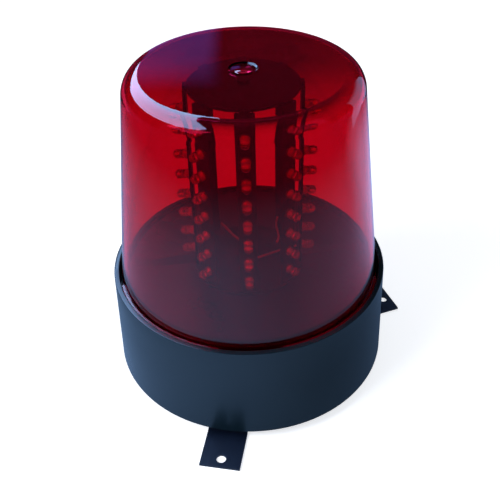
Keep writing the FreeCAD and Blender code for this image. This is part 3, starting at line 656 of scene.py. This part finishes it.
@dataclass
class Dome:
    """The red dome: a tapered shell with a rounded top edge, a gate mark and flange lugs at its foot.

    Its sizes are the CAD solid's, but for the gate mark's and for the lugs' ends and edges.

    Attributes:
        wall_start: Height over the rim where the plain wall starts.
        gate_apron: Reach of the flat rings round the gate mark, in times its radius and its lip.
        button_steps: Radii of the rings of the button in the gate mark, as shares of its own.
        lug_lead: Angle in degrees over which a lug's end rises to its full reach.
        lead_steps: Places of the mesh's columns in that lead, as shares of it.
        lug_fall: How much a lug thins towards its edge, above and below.
        lug_start: Distance out from the wall past which a face belongs to a lug.
    """

    foot_height: float = 61.0
    rim_height: float = 67.7
    wall_start: float = 4.0
    top_height: float = 188.85
    rim_radius: float = 75.4
    top_radius: float = 60.8
    wall: float = 2.5
    edge_round: float = 10.0
    gate_radius: float = 7.2
    gate_depth: float = 0.7
    gate_lip: float = 0.3
    gate_apron: float = 3.0
    button_radius: float = 5.6
    button_rise: float = 0.7
    button_steps: tuple[float, ...] = (1.0, 0.85, 0.7, 0.5, 0.3, 0.12)
    lug_reach: float = 1.3
    lug_low: float = 64.5
    lug_high: float = 66.7
    lug_span: float = 60.5
    lug_azimuths: tuple[float, ...] = (46.25, 133.75, 226.25, 313.75)
    lug_lead: float = 1.2
    lead_steps: tuple[float, ...] = (-0.5, -0.25, 0.0, 0.25, 0.5)
    lug_edge: float = 0.2
    lug_steps: int = 4
    lug_fall: float = 0.01
    lug_start: float = 0.05
    columns: int = 180
    round_steps: int = 14

    def slope(self) -> float:
        """Share by which the wall leans in as it rises."""
        return (self.rim_radius - self.top_radius) / (self.top_height - self.rim_height)

    def wall_radius(self, height: float) -> float:
        """Outer radius of the straight wall at a height."""
        return self.rim_radius - self.slope() * (height - self.rim_height)

    def lug_share(self, azimuth: float) -> float:
        """How far a lug stands out at an azimuth, from nothing to its full reach.

        Args:
            azimuth: Direction in degrees.

        Returns:
            A share from zero to one, with a short lead at the lug's ends.
        """
        nearest = min(abs((azimuth - centre + 180) % 360 - 180) for centre in self.lug_azimuths)
        share = (self.lug_span / 2 - nearest) / self.lug_lead + 0.5
        return min(max(share, 0.0), 1.0)

    def azimuths(self) -> list[float]:
        """Directions of the mesh's columns, closer together at the ends of the lugs.

        Returns:
            Directions in degrees, in order.
        """
        even = [360 * place / self.columns for place in range(self.columns)]
        ends = [centre + side * self.lug_span / 2 for centre in self.lug_azimuths for side in (-1, 1)]
        close = [end + self.lug_lead * step for end in ends for step in self.lead_steps]
        spacing = self.lug_lead / (len(self.lead_steps) - 1)
        clear = [a for a in even if all(abs(a - c) > spacing for c in close)]
        return sorted(clear + [a % 360 for a in close])

    def outer(self, share: float) -> list[Point]:
        """The outer profile from the foot to the last ring round the middle of the top.

        Args:
            share: How far the lug stands out here.

        Returns:
            Radius and height pairs.
        """
        reach, edge = self.lug_reach * share, self.lug_edge
        shoulder = self.lug_high - self.lug_fall - edge
        lugs = [(0.0, self.lug_low), (reach, self.lug_low + self.lug_fall)]
        lugs += [(reach + share * (out - edge), height)
                 for out, height in arc((0.0, shoulder), edge, 0.0, 90.0, self.lug_steps)]
        lugs.append((0.0, self.lug_high))
        wall_low = self.rim_height + self.wall_start
        points = [(self.wall_radius(self.foot_height), self.foot_height)]
        points += [(self.wall_radius(height) + out, height) for out, height in lugs]
        points.append((self.wall_radius(wall_low), wall_low))
        return points + self.rounded_edge(self.edge_round, 0.0) + self.gate_mark()

    def rounded_edge(self, radius: float, inset: float) -> list[Point]:
        """The rounded top edge of the outer surface, or of the inner one at an inset.

        Args:
            radius: The rounding's radius.
            inset: How far the surface lies inside the outer one.

        Returns:
            Points from the wall up to the flat top.
        """
        tilt = math.atan(self.slope())
        height = self.top_height - inset - radius
        centre = self.wall_radius(height) - (inset + radius) / math.cos(tilt)
        return arc((centre, height), radius, math.degrees(tilt), 90.0, self.round_steps)

    def gate_mark(self) -> list[Point]:
        """The gate mark: a shallow round pit with a low button in it.

        Returns:
            Radius and height pairs from the flat top inwards.
        """
        radius, lip, top = self.gate_radius, self.gate_lip, self.top_height
        floor = top - self.gate_depth
        pit = [(radius * self.gate_apron, top), (radius + lip * self.gate_apron, top), (radius + lip, top),
               (radius, top - lip), (radius - lip, floor + lip), (radius - 2 * lip, floor)]
        return pit + [(self.button_radius * step, floor + self.button_rise * (1 - step * step))
                      for step in self.button_steps]

    def inner(self) -> list[Point]:
        """The inner profile from the middle of the top down to the foot.

        Returns:
            Radius and height pairs.
        """
        across = self.wall / math.cos(math.atan(self.slope()))
        heights = (self.rim_height + self.wall_start, self.foot_height)
        points = [(self.gate_radius, self.top_height - self.wall)]
        points += reversed(self.rounded_edge(self.edge_round - self.wall, self.wall))
        return points + [(self.wall_radius(height) - across, height) for height in heights]

    def build(self) -> None:
        """Build the dome and dress it."""
        build = bmesh.new()
        directions = self.azimuths()
        azimuths = [math.radians(a) for a in directions]
        columns = [self.outer(self.lug_share(a)) for a in directions]
        outside = [add_ring(build, azimuths, list(row)) for row in zip(*columns)]
        button_top = self.top_height - self.gate_depth + self.button_rise
        outside.append([build.verts.new((0, 0, button_top * MM))])
        inside = [[build.verts.new((0, 0, (self.top_height - self.wall) * MM))]]
        inside += [add_ring(build, azimuths, [point] * len(azimuths)) for point in self.inner()]
        for rings in (outside, inside, [inside[-1], outside[0]]):
            join_rings(build, rings)
        piece = add_object("red_dome", close_mesh("red_dome", build))
        settle(piece, RED_ACRYLIC, Body.DOME, Slot.DOME, "dome")
        self.paint_foot_glow(piece.data)

    def paint_foot_glow(self, mesh: bpy.types.Mesh) -> None:
        """Give the lugs and the inside of the foot copies of the acrylic with less transmission, whose
        diffuse red is a painted glow.

        Args:
            mesh: The dome's mesh, which has its main finish.
        """
        lug_glow_index, foot_glow_index = 1, 2
        for finish in (LUG_ACRYLIC_PAINTED_GLOW, FOOT_ACRYLIC_PAINTED_GLOW):
            mesh.materials.append(finish.material())
        # Faces out past the wall get the lugs' painted glow, and faces inside the foot get the foot's painted
        # glow.
        for face in mesh.polygons:
            height = face.center.z / MM
            out = math.hypot(face.center.x, face.center.y) / MM - self.wall_radius(height)
            if out > self.lug_start:
                face.material_index = lug_glow_index
            elif out < -self.wall / 2 and height < self.rim_height:
                face.material_index = foot_glow_index


@dataclass
class Base:
    """The black drum, its feet, rivets and screws.

    Attributes:
        rivet_step: Distance from the inner rivet of a foot to the outer one.
        rivet_curve: Outline of a rivet's head, as shares of its radius and height.
        screw_curve: Outline of a screw's head, as shares of its radius and height.
        screw_taper: Length of the screw's end that narrows to its tip.
    """

    feet: tuple[str, ...] = ("mounting_foot_front", "mounting_foot_right", "mounting_foot_rear")
    foot_azimuth: float = -101.0
    rivet_rows: int = 2
    rivet_radius: float = 54.3
    rivet_step: float = 12.0
    rivet_head: float = 3.2
    rivet_head_height: float = 1.2
    rivet_curve: tuple[Point, ...] = ((0.0, 1.0), (0.45, 0.93), (0.8, 0.62), (1.0, 0.12), (1.0, 0.0))
    rivet_shank: float = 1.6
    rivet_low: float = 6.3
    rivet_grip: float = 3.0
    screw_count: int = 3
    screw_azimuth: float = -61.0
    screw_radius: float = 75.9
    screw_head: float = 2.9
    screw_head_height: float = 1.7
    screw_curve: tuple[Point, ...] = (
        (0.0, 0.55), (0.32, 0.55), (0.4, 1.0), (0.75, 0.92), (1.0, 0.45), (1.0, 0.0))
    screw_shank: float = 1.5
    screw_tip: float = 0.9
    screw_taper: float = 0.8
    screw_length: float = 10.0
    screw_seat: float = 7.8
    segments: int = 24

    def build(self, repeat: RingRepeat) -> None:
        """Build the drum's pieces and dress them.

        Args:
            repeat: The tree that sets copies round the axis.
        """
        drum = smooth_copy("base_housing", "drum_housing")
        settle(drum, BLACK_ABS, Body.BASE, Slot.HOUSING, "base_housing")
        for foot in self.feet:
            settle(smooth_copy(foot, f"strap_{foot}"), BLACK_STEEL, Body.BASE, Slot.FOOT, foot)
        rivets = repeat.apply(
            "domed_rivets", lathe("rivet", self.rivet_profile(), self.segments), ZINC,
            copies_round=len(self.feet), rows=self.rivet_rows, radius=self.rivet_radius * MM,
            radius_step=self.rivet_step * MM, height=self.rivet_low * MM, height_step=0.0,
            first_azimuth=math.radians(self.foot_azimuth))
        settle(rivets, None, Body.BASE, Slot.STEEL, "foot_rivets")
        screws = repeat.apply(
            "pan_head_screws", lathe("screw", self.screw_profile(), self.segments), ZINC,
            copies_round=self.screw_count, rows=1, radius=self.screw_radius * MM, radius_step=0.0,
            height=self.screw_seat * MM, height_step=0.0, first_azimuth=math.radians(self.screw_azimuth))
        settle(screws, None, Body.BASE, Slot.STEEL, "bottom_plate_screws")

    @staticmethod
    def head(radius: float, height: float, curve: tuple[Point, ...]) -> list[Point]:
        """Profile of a head that hangs below its seat, from a curve of shares of its radius and height."""
        return [(radius * out, -height * drop) for out, drop in curve]

    def rivet_profile(self) -> list[Point]:
        """A rivet with a domed head below and a set head above, from the seat of its lower head.

        Returns:
            Radius and height pairs.
        """
        low = self.head(self.rivet_head, self.rivet_head_height, self.rivet_curve)
        shank = [(self.rivet_shank, 0.0), (self.rivet_shank, self.rivet_grip)]
        return low + shank + [(radius, self.rivet_grip - height) for radius, height in reversed(low)]

    def screw_profile(self) -> list[Point]:
        """A pan-head screw whose head hangs below its seat.

        Returns:
            Radius and height pairs.
        """
        head = self.head(self.screw_head, self.screw_head_height, self.screw_curve)
        return head + [(self.screw_shank, 0.0), (self.screw_shank, self.screw_length - self.screw_taper),
                       (self.screw_tip, self.screw_length), (0.0, self.screw_length)]


@dataclass
class LedTower:
    """The upright strips, their LEDs, the plate on top and the leads at the foot.

    Attributes:
        face_radius: Distance of the strips' outer faces from the axis.
        collar_break: Rise of the slope on top of a lens's collar.
        barrel_share: Place of the ring that keeps a lens's barrel straight, as a share of its length.
        lens_cap: Angle in degrees from which a lens's rounding closes to its tip.
        cup_low: Distance of the anvil's root from the strip's face.
        cup_high: Distance of the cup's rim from the strip's face.
        cup_flare: Length over which the cup widens to its rim.
    """

    strips: int = 8
    rows: int = 8
    face_radius: float = 31.0
    first_height: float = 77.3
    pitch: float = 12.75
    first_azimuth: float = -90.0
    lens_radius: float = 2.5
    lens_length: float = 8.0
    collar_radius: float = 2.85
    collar_height: float = 1.0
    collar_break: float = 0.1
    barrel_share: float = 0.6
    lens_cap: float = 80.0
    lens_steps: int = 7
    lens_segments: int = 20
    anvil_radius: float = 2.0
    anvil_height: float = 0.5
    post_radius: float = 0.69
    cup_radius: float = 1.15
    cup_lip_radius: float = 0.92
    cup_floor_radius: float = 0.414
    cup_low: float = 0.6
    cup_high: float = 4.4
    cup_flare: float = 1.2
    cup_depth: float = 0.5
    cup_segments: int = 12
    plate_radius: float = 29.3
    plate_edge: float = 0.2
    plate_segments: int = 96
    lead_radius: float = 0.7
    lead_paths: tuple[tuple[Place, ...], ...] = (
        ((-16.2, 23.8, 76.5), (-12.5, 19.5, 75.0), (-8.0, 16.5, 71.0), (-3.5, 15.2, 68.8)),
        ((18.6, 21.6, 82.0), (17.0, 19.4, 78.0), (18.6, 17.6, 72.5), (19.4, 15.6, 69.4), (17.4, 13.0, 68.8)),
        ((28.6, 2.5, 74.0), (22.0, 6.0, 69.4), (12.0, 1.4, 68.9), (5.4, -1.2, 68.8)),
    )

    def build(self, repeat: RingRepeat) -> None:
        """Dress the strips, and build what they carry and what lies by them.

        Args:
            repeat: The tree that sets copies round the axis.
        """
        numbers = range(1, self.strips + 1)
        dress_nodes({f"led_strip_{number}": BLACK_BOARD for number in numbers})
        layout = dict(copies_round=self.strips, rows=self.rows, radius=self.face_radius * MM, radius_step=0.0,
                      height=self.first_height * MM, height_step=self.pitch * MM,
                      first_azimuth=math.radians(self.first_azimuth))
        lens = lathe("lens", self.lens_profile(), self.lens_segments, along_x=True)
        lenses = repeat.apply("led_lenses", lens, LED_EPOXY, **layout)
        settle(lenses, None, Body.BASE, Slot.LED, *[f"leds_{number}" for number in numbers])
        cup = lathe("cup", self.cup_profile(), self.cup_segments, along_x=True)
        cups = repeat.apply("led_lead_frames", cup, LEAD_FRAME, **layout)
        settle(cups, None, Body.BASE, Slot.STEEL)
        leads = tubes("red_leads", self.lead_paths, self.lead_radius)
        settle(leads, RED_PVC, Body.BASE, Slot.LEAD, "tower_leads")
        plate = add_object("top_plate", lathe("top_plate", self.plate_profile(), self.plate_segments))
        settle(plate, BLACK_BOARD, Body.BASE, Slot.CIRCUIT, "tower_upper_plate")

    def plate_profile(self) -> list[Point]:
        """The upper plate, which lies inside the ring of strips, with its edges broken.

        Returns:
            Radius and height pairs.
        """
        low, high = (corner[2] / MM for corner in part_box("tower_upper_plate"))
        radius, edge = self.plate_radius, self.plate_edge
        return [(0.0, low), (radius - edge, low), (radius, low + edge), (radius, high - edge),
                (radius - edge, high), (0.0, high)]

    def lens_profile(self) -> list[Point]:
        """A round lens with a collar at its root, from the strip's face outwards.

        Returns:
            Radius and height pairs.
        """
        barrel = self.lens_length - self.lens_radius
        root = [(0.0, 0.0), (self.collar_radius, 0.0), (self.collar_radius, self.collar_height),
                (self.lens_radius, self.collar_height + self.collar_break),
                (self.lens_radius, barrel * self.barrel_share)]
        tip = arc((0.0, barrel), self.lens_radius, 0.0, self.lens_cap, self.lens_steps)
        return root + tip + [(0.0, self.lens_length)]

    def cup_profile(self) -> list[Point]:
        """The anvil inside a lens, broad at its root, and the reflector cup on it.

        Returns:
            Radius and height pairs.
        """
        low, high = self.cup_low, self.cup_high
        floor = high - self.cup_depth
        return [(0.0, low), (self.anvil_radius, low), (self.anvil_radius, low + self.anvil_height),
                (self.post_radius, high - self.cup_flare), (self.cup_radius, high),
                (self.cup_lip_radius, high), (self.cup_floor_radius, floor), (0.0, floor)]


class Sees(Enum):
    """Which rays see a stage card."""

    GLOSS = "reflections"
    GLASS = "light through the dome"
    BOTH = "reflections and light through the dome"


@dataclass(frozen=True)
class Lamp:
    """A square soft lamp that points at the object.

    Attributes:
        name: The lamp's name.
        place: Where it hangs, in metres.
        size: Its width in metres.
        power: Its power in watts.
        tone: Its colour.
    """

    name: str
    place: Place
    size: float
    power: float
    tone: str


@dataclass(frozen=True)
class Spot:
    """A round area of a floor card that is lighter or darker than the rest, in metres.

    Attributes:
        x: Place of its middle.
        y: Place of its middle.
        near: Radius where it starts to fall off.
        far: Radius where it has ended.
        level: What it adds to the card's brightness, less than nothing for a shade.
    """

    x: float
    y: float
    near: float
    far: float
    level: float


@dataclass(frozen=True)
class Pool:
    """A floor card with lighter or darker spots.

    Attributes:
        name: The card's name.
        height: Its height over the floor in metres.
        tone: Its colour.
        level: Its brightness outside the spots, where one is the full colour.
        spots: The lighter or darker areas.
        sees: Which rays see it.
    """

    name: str
    height: float
    tone: str
    level: float
    spots: tuple[Spot, ...]
    sees: Sees


@dataclass(frozen=True)
class Patch:
    """A light panel or a dim flag on a ball round the dome's top, as stood round glossy things in a studio.

    Attributes:
        name: The card's name.
        tone: Its colour.
        level: Its brightness, where one is the full colour.
        edges: Azimuth, lowest and highest elevation in degrees at each of its upright edges.
        away: The ball's radius in metres.
        sees: Which rays see it.
        fade: Elevations in degrees between which its brightness changes upwards.
        end_level: Its brightness above that change.
        side_fade: Azimuths in degrees where it starts and ends to fade out sideways.
        steps: Number of faces from its lower edge to its upper one.
    """

    name: str
    tone: str
    level: float
    edges: tuple[tuple[float, float, float], ...]
    away: float = 0.8
    sees: Sees = Sees.GLOSS
    fade: tuple[float, float] = (88.0, 90.0)
    end_level: float = 0.0
    side_fade: tuple[float, float] = (1.0, 0.0)
    steps: int = 5

    def height(self, elevation: float) -> float:
        """Height over the floor, in metres, at an elevation in degrees."""
        return Dome.top_height * MM + self.away * math.sin(math.radians(elevation))

    def place(self, azimuth: float, elevation: float) -> Place:
        """The place on the ball in a direction.

        Args:
            azimuth: Direction in degrees from +X towards +Y.
            elevation: Direction in degrees above the horizon.

        Returns:
            The place in metres.
        """
        turn = math.radians(azimuth)
        out = self.away * math.cos(math.radians(elevation))
        return out * math.cos(turn), out * math.sin(turn), self.height(elevation)

    def faces(self) -> list[list[Place]]:
        """Corners of the card's faces.

        Returns:
            Four places for each face.
        """
        shares = [step / self.steps for step in range(self.steps + 1)]
        columns = [[self.place(azimuth, low + (high - low) * share) for share in shares]
                   for azimuth, low, high in self.edges]
        return [[first[step], last[step], last[step + 1], first[step + 1]]
                for first, last in zip(columns, columns[1:]) for step in range(self.steps)]


@dataclass
class Studio:
    """The floor, the white background, the soft lamps, the camera, and the cards that gloss and glass show.

    Attributes:
        floor_glow: What the floor adds to its own light where it shows as background.
        lamp_aim: The place that the lamps point at.
        pool_inset: How much smaller the floor cards are than the floor, on each side.
        focal_pixels: The camera's focal length in pixels of the picture.
        axis_pixel: Where the camera's axis lies across the picture.
        pitch_down: How far the camera looks down, in radians.
        roll: How far it leans, in radians.
    """

    floor_half: float = 12.0
    floor_tone: str = "#eef1f4"
    floor_glow: float = 0.62
    ambient_tone: str = "#dfe6f0"
    ambient_level: float = 0.45
    lamp_aim: Place = (0.0, 0.0, 0.1)
    lamps: tuple[Lamp, ...] = (
        Lamp("key_lamp", (-0.8, -0.45, 0.9), 0.6, 11.8, "#eef2ff"),
        Lamp("fill_lamp", (0.95, -0.55, 0.8), 0.8, 3.0, "#f4f6ff"),
    )
    pool_inset: float = 0.1
    pools: tuple[Pool, ...] = (
        Pool("floor_pool_in_gloss", 0.0004, "#90b8f0", 0.01, (
            Spot(0.0, -0.05, 0.24, 0.54, 0.8), Spot(-0.12, -0.2, 0.05, 0.25, 0.5),
            Spot(0.25, 0.18, 0.05, 0.2, 0.8), Spot(0.42, 0.14, 0.03, 0.16, 0.6),
            Spot(0.06, -0.02, 0.06, 0.16, -0.5)), Sees.GLOSS),
        Pool("floor_pool_in_glass", 0.0002, WHITE, 1.0, (Spot(0.07, 0.77, 0.33, 0.52, -0.91),), Sees.GLASS),
    )
    tent_half: float = 2.4
    tent_height: float = 2.4
    tent_tone: str = "#0b080e"
    patches: tuple[Patch, ...] = (
        Patch("sky_patch", "#a2c8ff", 8.8, (
            (95.0, 36.0, 40.0), (100.0, 35.0, 42.0), (106.5, 34.0, 50.0), (107.0, 17.0, 50.0),
            (117.0, 17.5, 58.0), (135.0, 18.0, 64.0), (154.0, 23.0, 67.0), (168.0, 27.0, 68.0),
            (181.0, 31.0, 68.0), (203.0, 37.0, 64.0), (221.0, 46.0, 58.0)), sees=Sees.BOTH),
        Patch("side_patch", "#768cb9", 2.4, ((15.0, -21.0, 22.0), (23.0, -21.0, 24.0), (50.0, -21.0, 24.0)),
              away=0.5, fade=(12.0, 24.0)),
        Patch("violet_patch", "#6a5cd9", 0.85, ((92.0, -10.0, 28.0), (106.5, -10.0, 28.0)),
              fade=(22.5, 27.5), side_fade=(94.5, 92.0)),
        Patch("rear_flag", WHITE, 0.15,
              tuple((azimuth, -7.0, 55.0) for azimuth in (-10.0, 25.0, 60.0, 90.0, 120.0, 155.0, 190.0)),
              away=1.4, sees=Sees.GLASS, fade=(13.0, 20.5), end_level=0.48),
    )
    image_size: int = 500
    focal_pixels: float = 736.907
    axis_pixel: float = 248.352
    sensor_mm: float = 36.0
    clip_start: float = 0.01
    camera_place: Place = (0.0, -0.343599, 0.34581)
    pitch_down: float = 0.671
    roll: float = -0.03

    def build(self) -> None:
        """Set up everything round the object."""
        bpy.context.scene.view_settings.view_transform = "Standard"
        self.floor()
        self.background()
        for lamp in self.lamps:
            self.lamp(lamp)
        for pool in self.pools:
            self.pool(pool)
        self.tent()
        for patch in self.patches:
            self.patch(patch)
        self.camera()

    def shown_as_background(self, tree: bpy.types.NodeTree) -> bpy.types.NodeSocket:
        """One where a camera, glossy or transmitted ray arrives, and nothing elsewhere.

        Args:
            tree: The node tree that asks.

        Returns:
            The factor's socket.
        """
        path = add_node(tree, "ShaderNodeLightPath").outputs
        shown = path["Is Camera Ray"]
        for kind in ("Is Glossy Ray", "Is Transmission Ray"):
            either = add_node(tree, "ShaderNodeMath", links={0: shown, 1: path[kind]}, operation="MAXIMUM")
            shown = either.outputs[0]
        return shown

    def floor(self) -> None:
        """A plain pale floor that shows white and keeps a soft shadow."""
        floor = self.sheet("studio_floor", [self.square(self.floor_half, 0.0)])
        material = bpy.data.materials.new("floor_paper")
        tree = empty_tree(material)
        paper = add_node(tree, "ShaderNodeBsdfDiffuse", {"Color": linear(self.floor_tone)})
        strength = add_node(tree, "ShaderNodeMath", {1: self.floor_glow}, {0: self.shown_as_background(tree)},
                            operation="MULTIPLY")
        glow = add_node(tree, "ShaderNodeEmission", {"Color": linear(WHITE)},
                        {"Strength": strength.outputs[0]})
        both = add_node(tree, "ShaderNodeAddShader", links={0: paper.outputs[0], 1: glow.outputs[0]})
        add_node(tree, "ShaderNodeOutputMaterial", links={"Surface": both.outputs[0]})
        floor.data.materials.append(material)

    def background(self) -> None:
        """A white background, with a dimmer, cooler ambient light on the object."""
        world = bpy.data.worlds.new("white_studio")
        bpy.context.scene.world = world
        tree = empty_tree(world)
        ambient = add_node(tree, "ShaderNodeBackground",
                           {"Color": linear(self.ambient_tone), "Strength": self.ambient_level})
        white = add_node(tree, "ShaderNodeBackground", {"Color": linear(WHITE), "Strength": 1.0})
        mix = add_node(tree, "ShaderNodeMixShader", links={
            0: self.shown_as_background(tree), 1: ambient.outputs[0], 2: white.outputs[0]})
        add_node(tree, "ShaderNodeOutputWorld", links={"Surface": mix.outputs[0]})

    def lamp(self, lamp: Lamp) -> None:
        """Hang a lamp, which neither the camera nor a reflection sees.

        Args:
            lamp: Where it hangs and how it shines.
        """
        light = bpy.data.lights.new(lamp.name, "AREA")
        light.size = lamp.size
        light.energy = lamp.power
        light.color = linear(lamp.tone)[:3]
        piece = add_object(lamp.name, light)
        piece.location = lamp.place
        towards = Vector(self.lamp_aim) - Vector(lamp.place)
        piece.rotation_euler = towards.to_track_quat("-Z", "Y").to_euler()
        piece.visible_glossy = False
        piece.visible_camera = False

    def pool(self, pool: Pool) -> None:
        """Lay a floor card with lighter or darker spots.

        Args:
            pool: Where it lies and how it shines.
        """
        corners = self.square(self.floor_half - self.pool_inset, pool.height)
        tree, emission = self.card(pool.name, [corners], pool.tone, pool.level, pool.sees)
        place = add_node(tree, "ShaderNodeTexCoord").outputs["Object"]
        total = add_node(tree, "ShaderNodeMath", {0: pool.level, 1: 0.0}, operation="ADD").outputs[0]
        for spot in pool.spots:
            away = add_node(tree, "ShaderNodeVectorMath", {1: (spot.x, spot.y, pool.height)}, {0: place},
                            operation="DISTANCE")
            share = add_node(tree, "ShaderNodeMapRange",
                             {"From Min": spot.near, "From Max": spot.far,
                              "To Min": spot.level, "To Max": 0.0},
                             {"Value": away.outputs["Value"]}, interpolation_type="SMOOTHSTEP")
            total = add_node(tree, "ShaderNodeMath", links={0: total, 1: share.outputs["Result"]},
                             operation="ADD").outputs[0]
        tree.links.new(total, emission.inputs["Strength"])

    def patch(self, patch: Patch) -> None:
        """Stand up a light panel or a flag.

        Args:
            patch: Where it stands and how it shines.
        """
        tree, emission = self.card(patch.name, patch.faces(), patch.tone, patch.level, patch.sees)
        place = add_node(tree, "ShaderNodeTexCoord").outputs["Object"]
        axes = add_node(tree, "ShaderNodeSeparateXYZ", links={"Vector": place})
        upwards = [patch.height(elevation) for elevation in patch.fade]
        sideways = [patch.place(azimuth, 0.0)[0] for azimuth in patch.side_fade]
        changes = (("Z", upwards, patch.level, patch.end_level), ("X", sideways, 1.0, 0.0))
        shares = []
        for axis, (start, end), level, end_level in changes:
            share = add_node(tree, "ShaderNodeMapRange",
                             {"From Min": start, "From Max": end, "To Min": level, "To Max": end_level},
                             {"Value": axes.outputs[axis]}, interpolation_type="SMOOTHSTEP")
            shares.append(share.outputs["Result"])
        strength = add_node(tree, "ShaderNodeMath", links=dict(enumerate(shares)), operation="MULTIPLY")
        tree.links.new(strength.outputs[0], emission.inputs["Strength"])

    def tent(self) -> None:
        """A dark tent that reflections see in place of the white background."""
        low = self.square(self.tent_half, 0.0)
        high = self.square(self.tent_half, self.tent_height)
        lower, upper = low + low[:1], high + high[:1]
        walls = [[lower[side], lower[side + 1], upper[side + 1], upper[side]] for side in range(len(low))]
        self.card("dark_tent", walls + [high], self.tent_tone, 1.0, Sees.GLOSS)

    def card(self, name: str, faces: list[list[Place]], tone: str, level: float,
             sees: Sees) -> tuple[bpy.types.NodeTree, bpy.types.Node]:
        """Add a card that shines evenly, and that only reflections or light through the dome can see.

        Args:
            name: The card's name.
            faces: The corners of each face in metres.
            tone: Its colour.
            level: Its brightness, where one is the full colour.
            sees: Which rays see it.

        Returns:
            Its material's node tree, and the node that shines.
        """
        card = self.sheet(name, faces)
        card.visible_camera = False
        card.visible_diffuse = False
        card.visible_shadow = False
        card.visible_volume_scatter = False
        card.visible_glossy = sees is not Sees.GLASS
        card.visible_transmission = sees is not Sees.GLOSS
        material = bpy.data.materials.new(name)
        card.data.materials.append(material)
        tree = empty_tree(material)
        light = add_node(tree, "ShaderNodeEmission", {"Color": linear(tone), "Strength": level})
        add_node(tree, "ShaderNodeOutputMaterial", links={"Surface": light.outputs[0]})
        return tree, light

    @staticmethod
    def square(half: float, height: float) -> list[Place]:
        """Corners of a level square round the axis, from half its width and its height over the floor."""
        return [(-half, -half, height), (half, -half, height), (half, half, height), (-half, half, height)]

    @staticmethod
    def sheet(name: str, faces: list[list[Place]]) -> bpy.types.Object:
        """A stage piece of flat four-cornered faces.

        Args:
            name: The piece's name.
            faces: The corners of each face in metres.

        Returns:
            The new piece.
        """
        mesh = bpy.data.meshes.new(name)
        corners = [corner for face in faces for corner in face]
        starts = range(0, len(corners), 4)
        mesh.from_pydata(corners, [], [tuple(range(start, start + 4)) for start in starts])
        piece = add_object(name, mesh)
        return piece

    def camera(self) -> None:
        """The camera at the photograph's angle."""
        lens = bpy.data.cameras.new("camera")
        lens.sensor_width = self.sensor_mm
        lens.lens = self.focal_pixels / self.image_size * self.sensor_mm
        lens.shift_x = 0.5 - self.axis_pixel / self.image_size
        lens.clip_start = self.clip_start
        camera = add_object("camera", lens)
        turn = Matrix.Rotation(math.pi / 2 - self.pitch_down, 4, "X") @ Matrix.Rotation(self.roll, 4, "Z")
        camera.matrix_world = Matrix.Translation(self.camera_place) @ turn
        bpy.context.scene.camera = camera


def main() -> None:
    """Build every sub-assembly and the studio."""
    logging.basicConfig(level=logging.INFO, format="%(name)s: %(message)s")
    repeat = RingRepeat()
    dress_nodes(CAD_FINISHES)
    Base().build(repeat)
    LedTower().build(repeat)
    Dome().build()
    Studio().build()


if __name__ == "__main__":
    main()
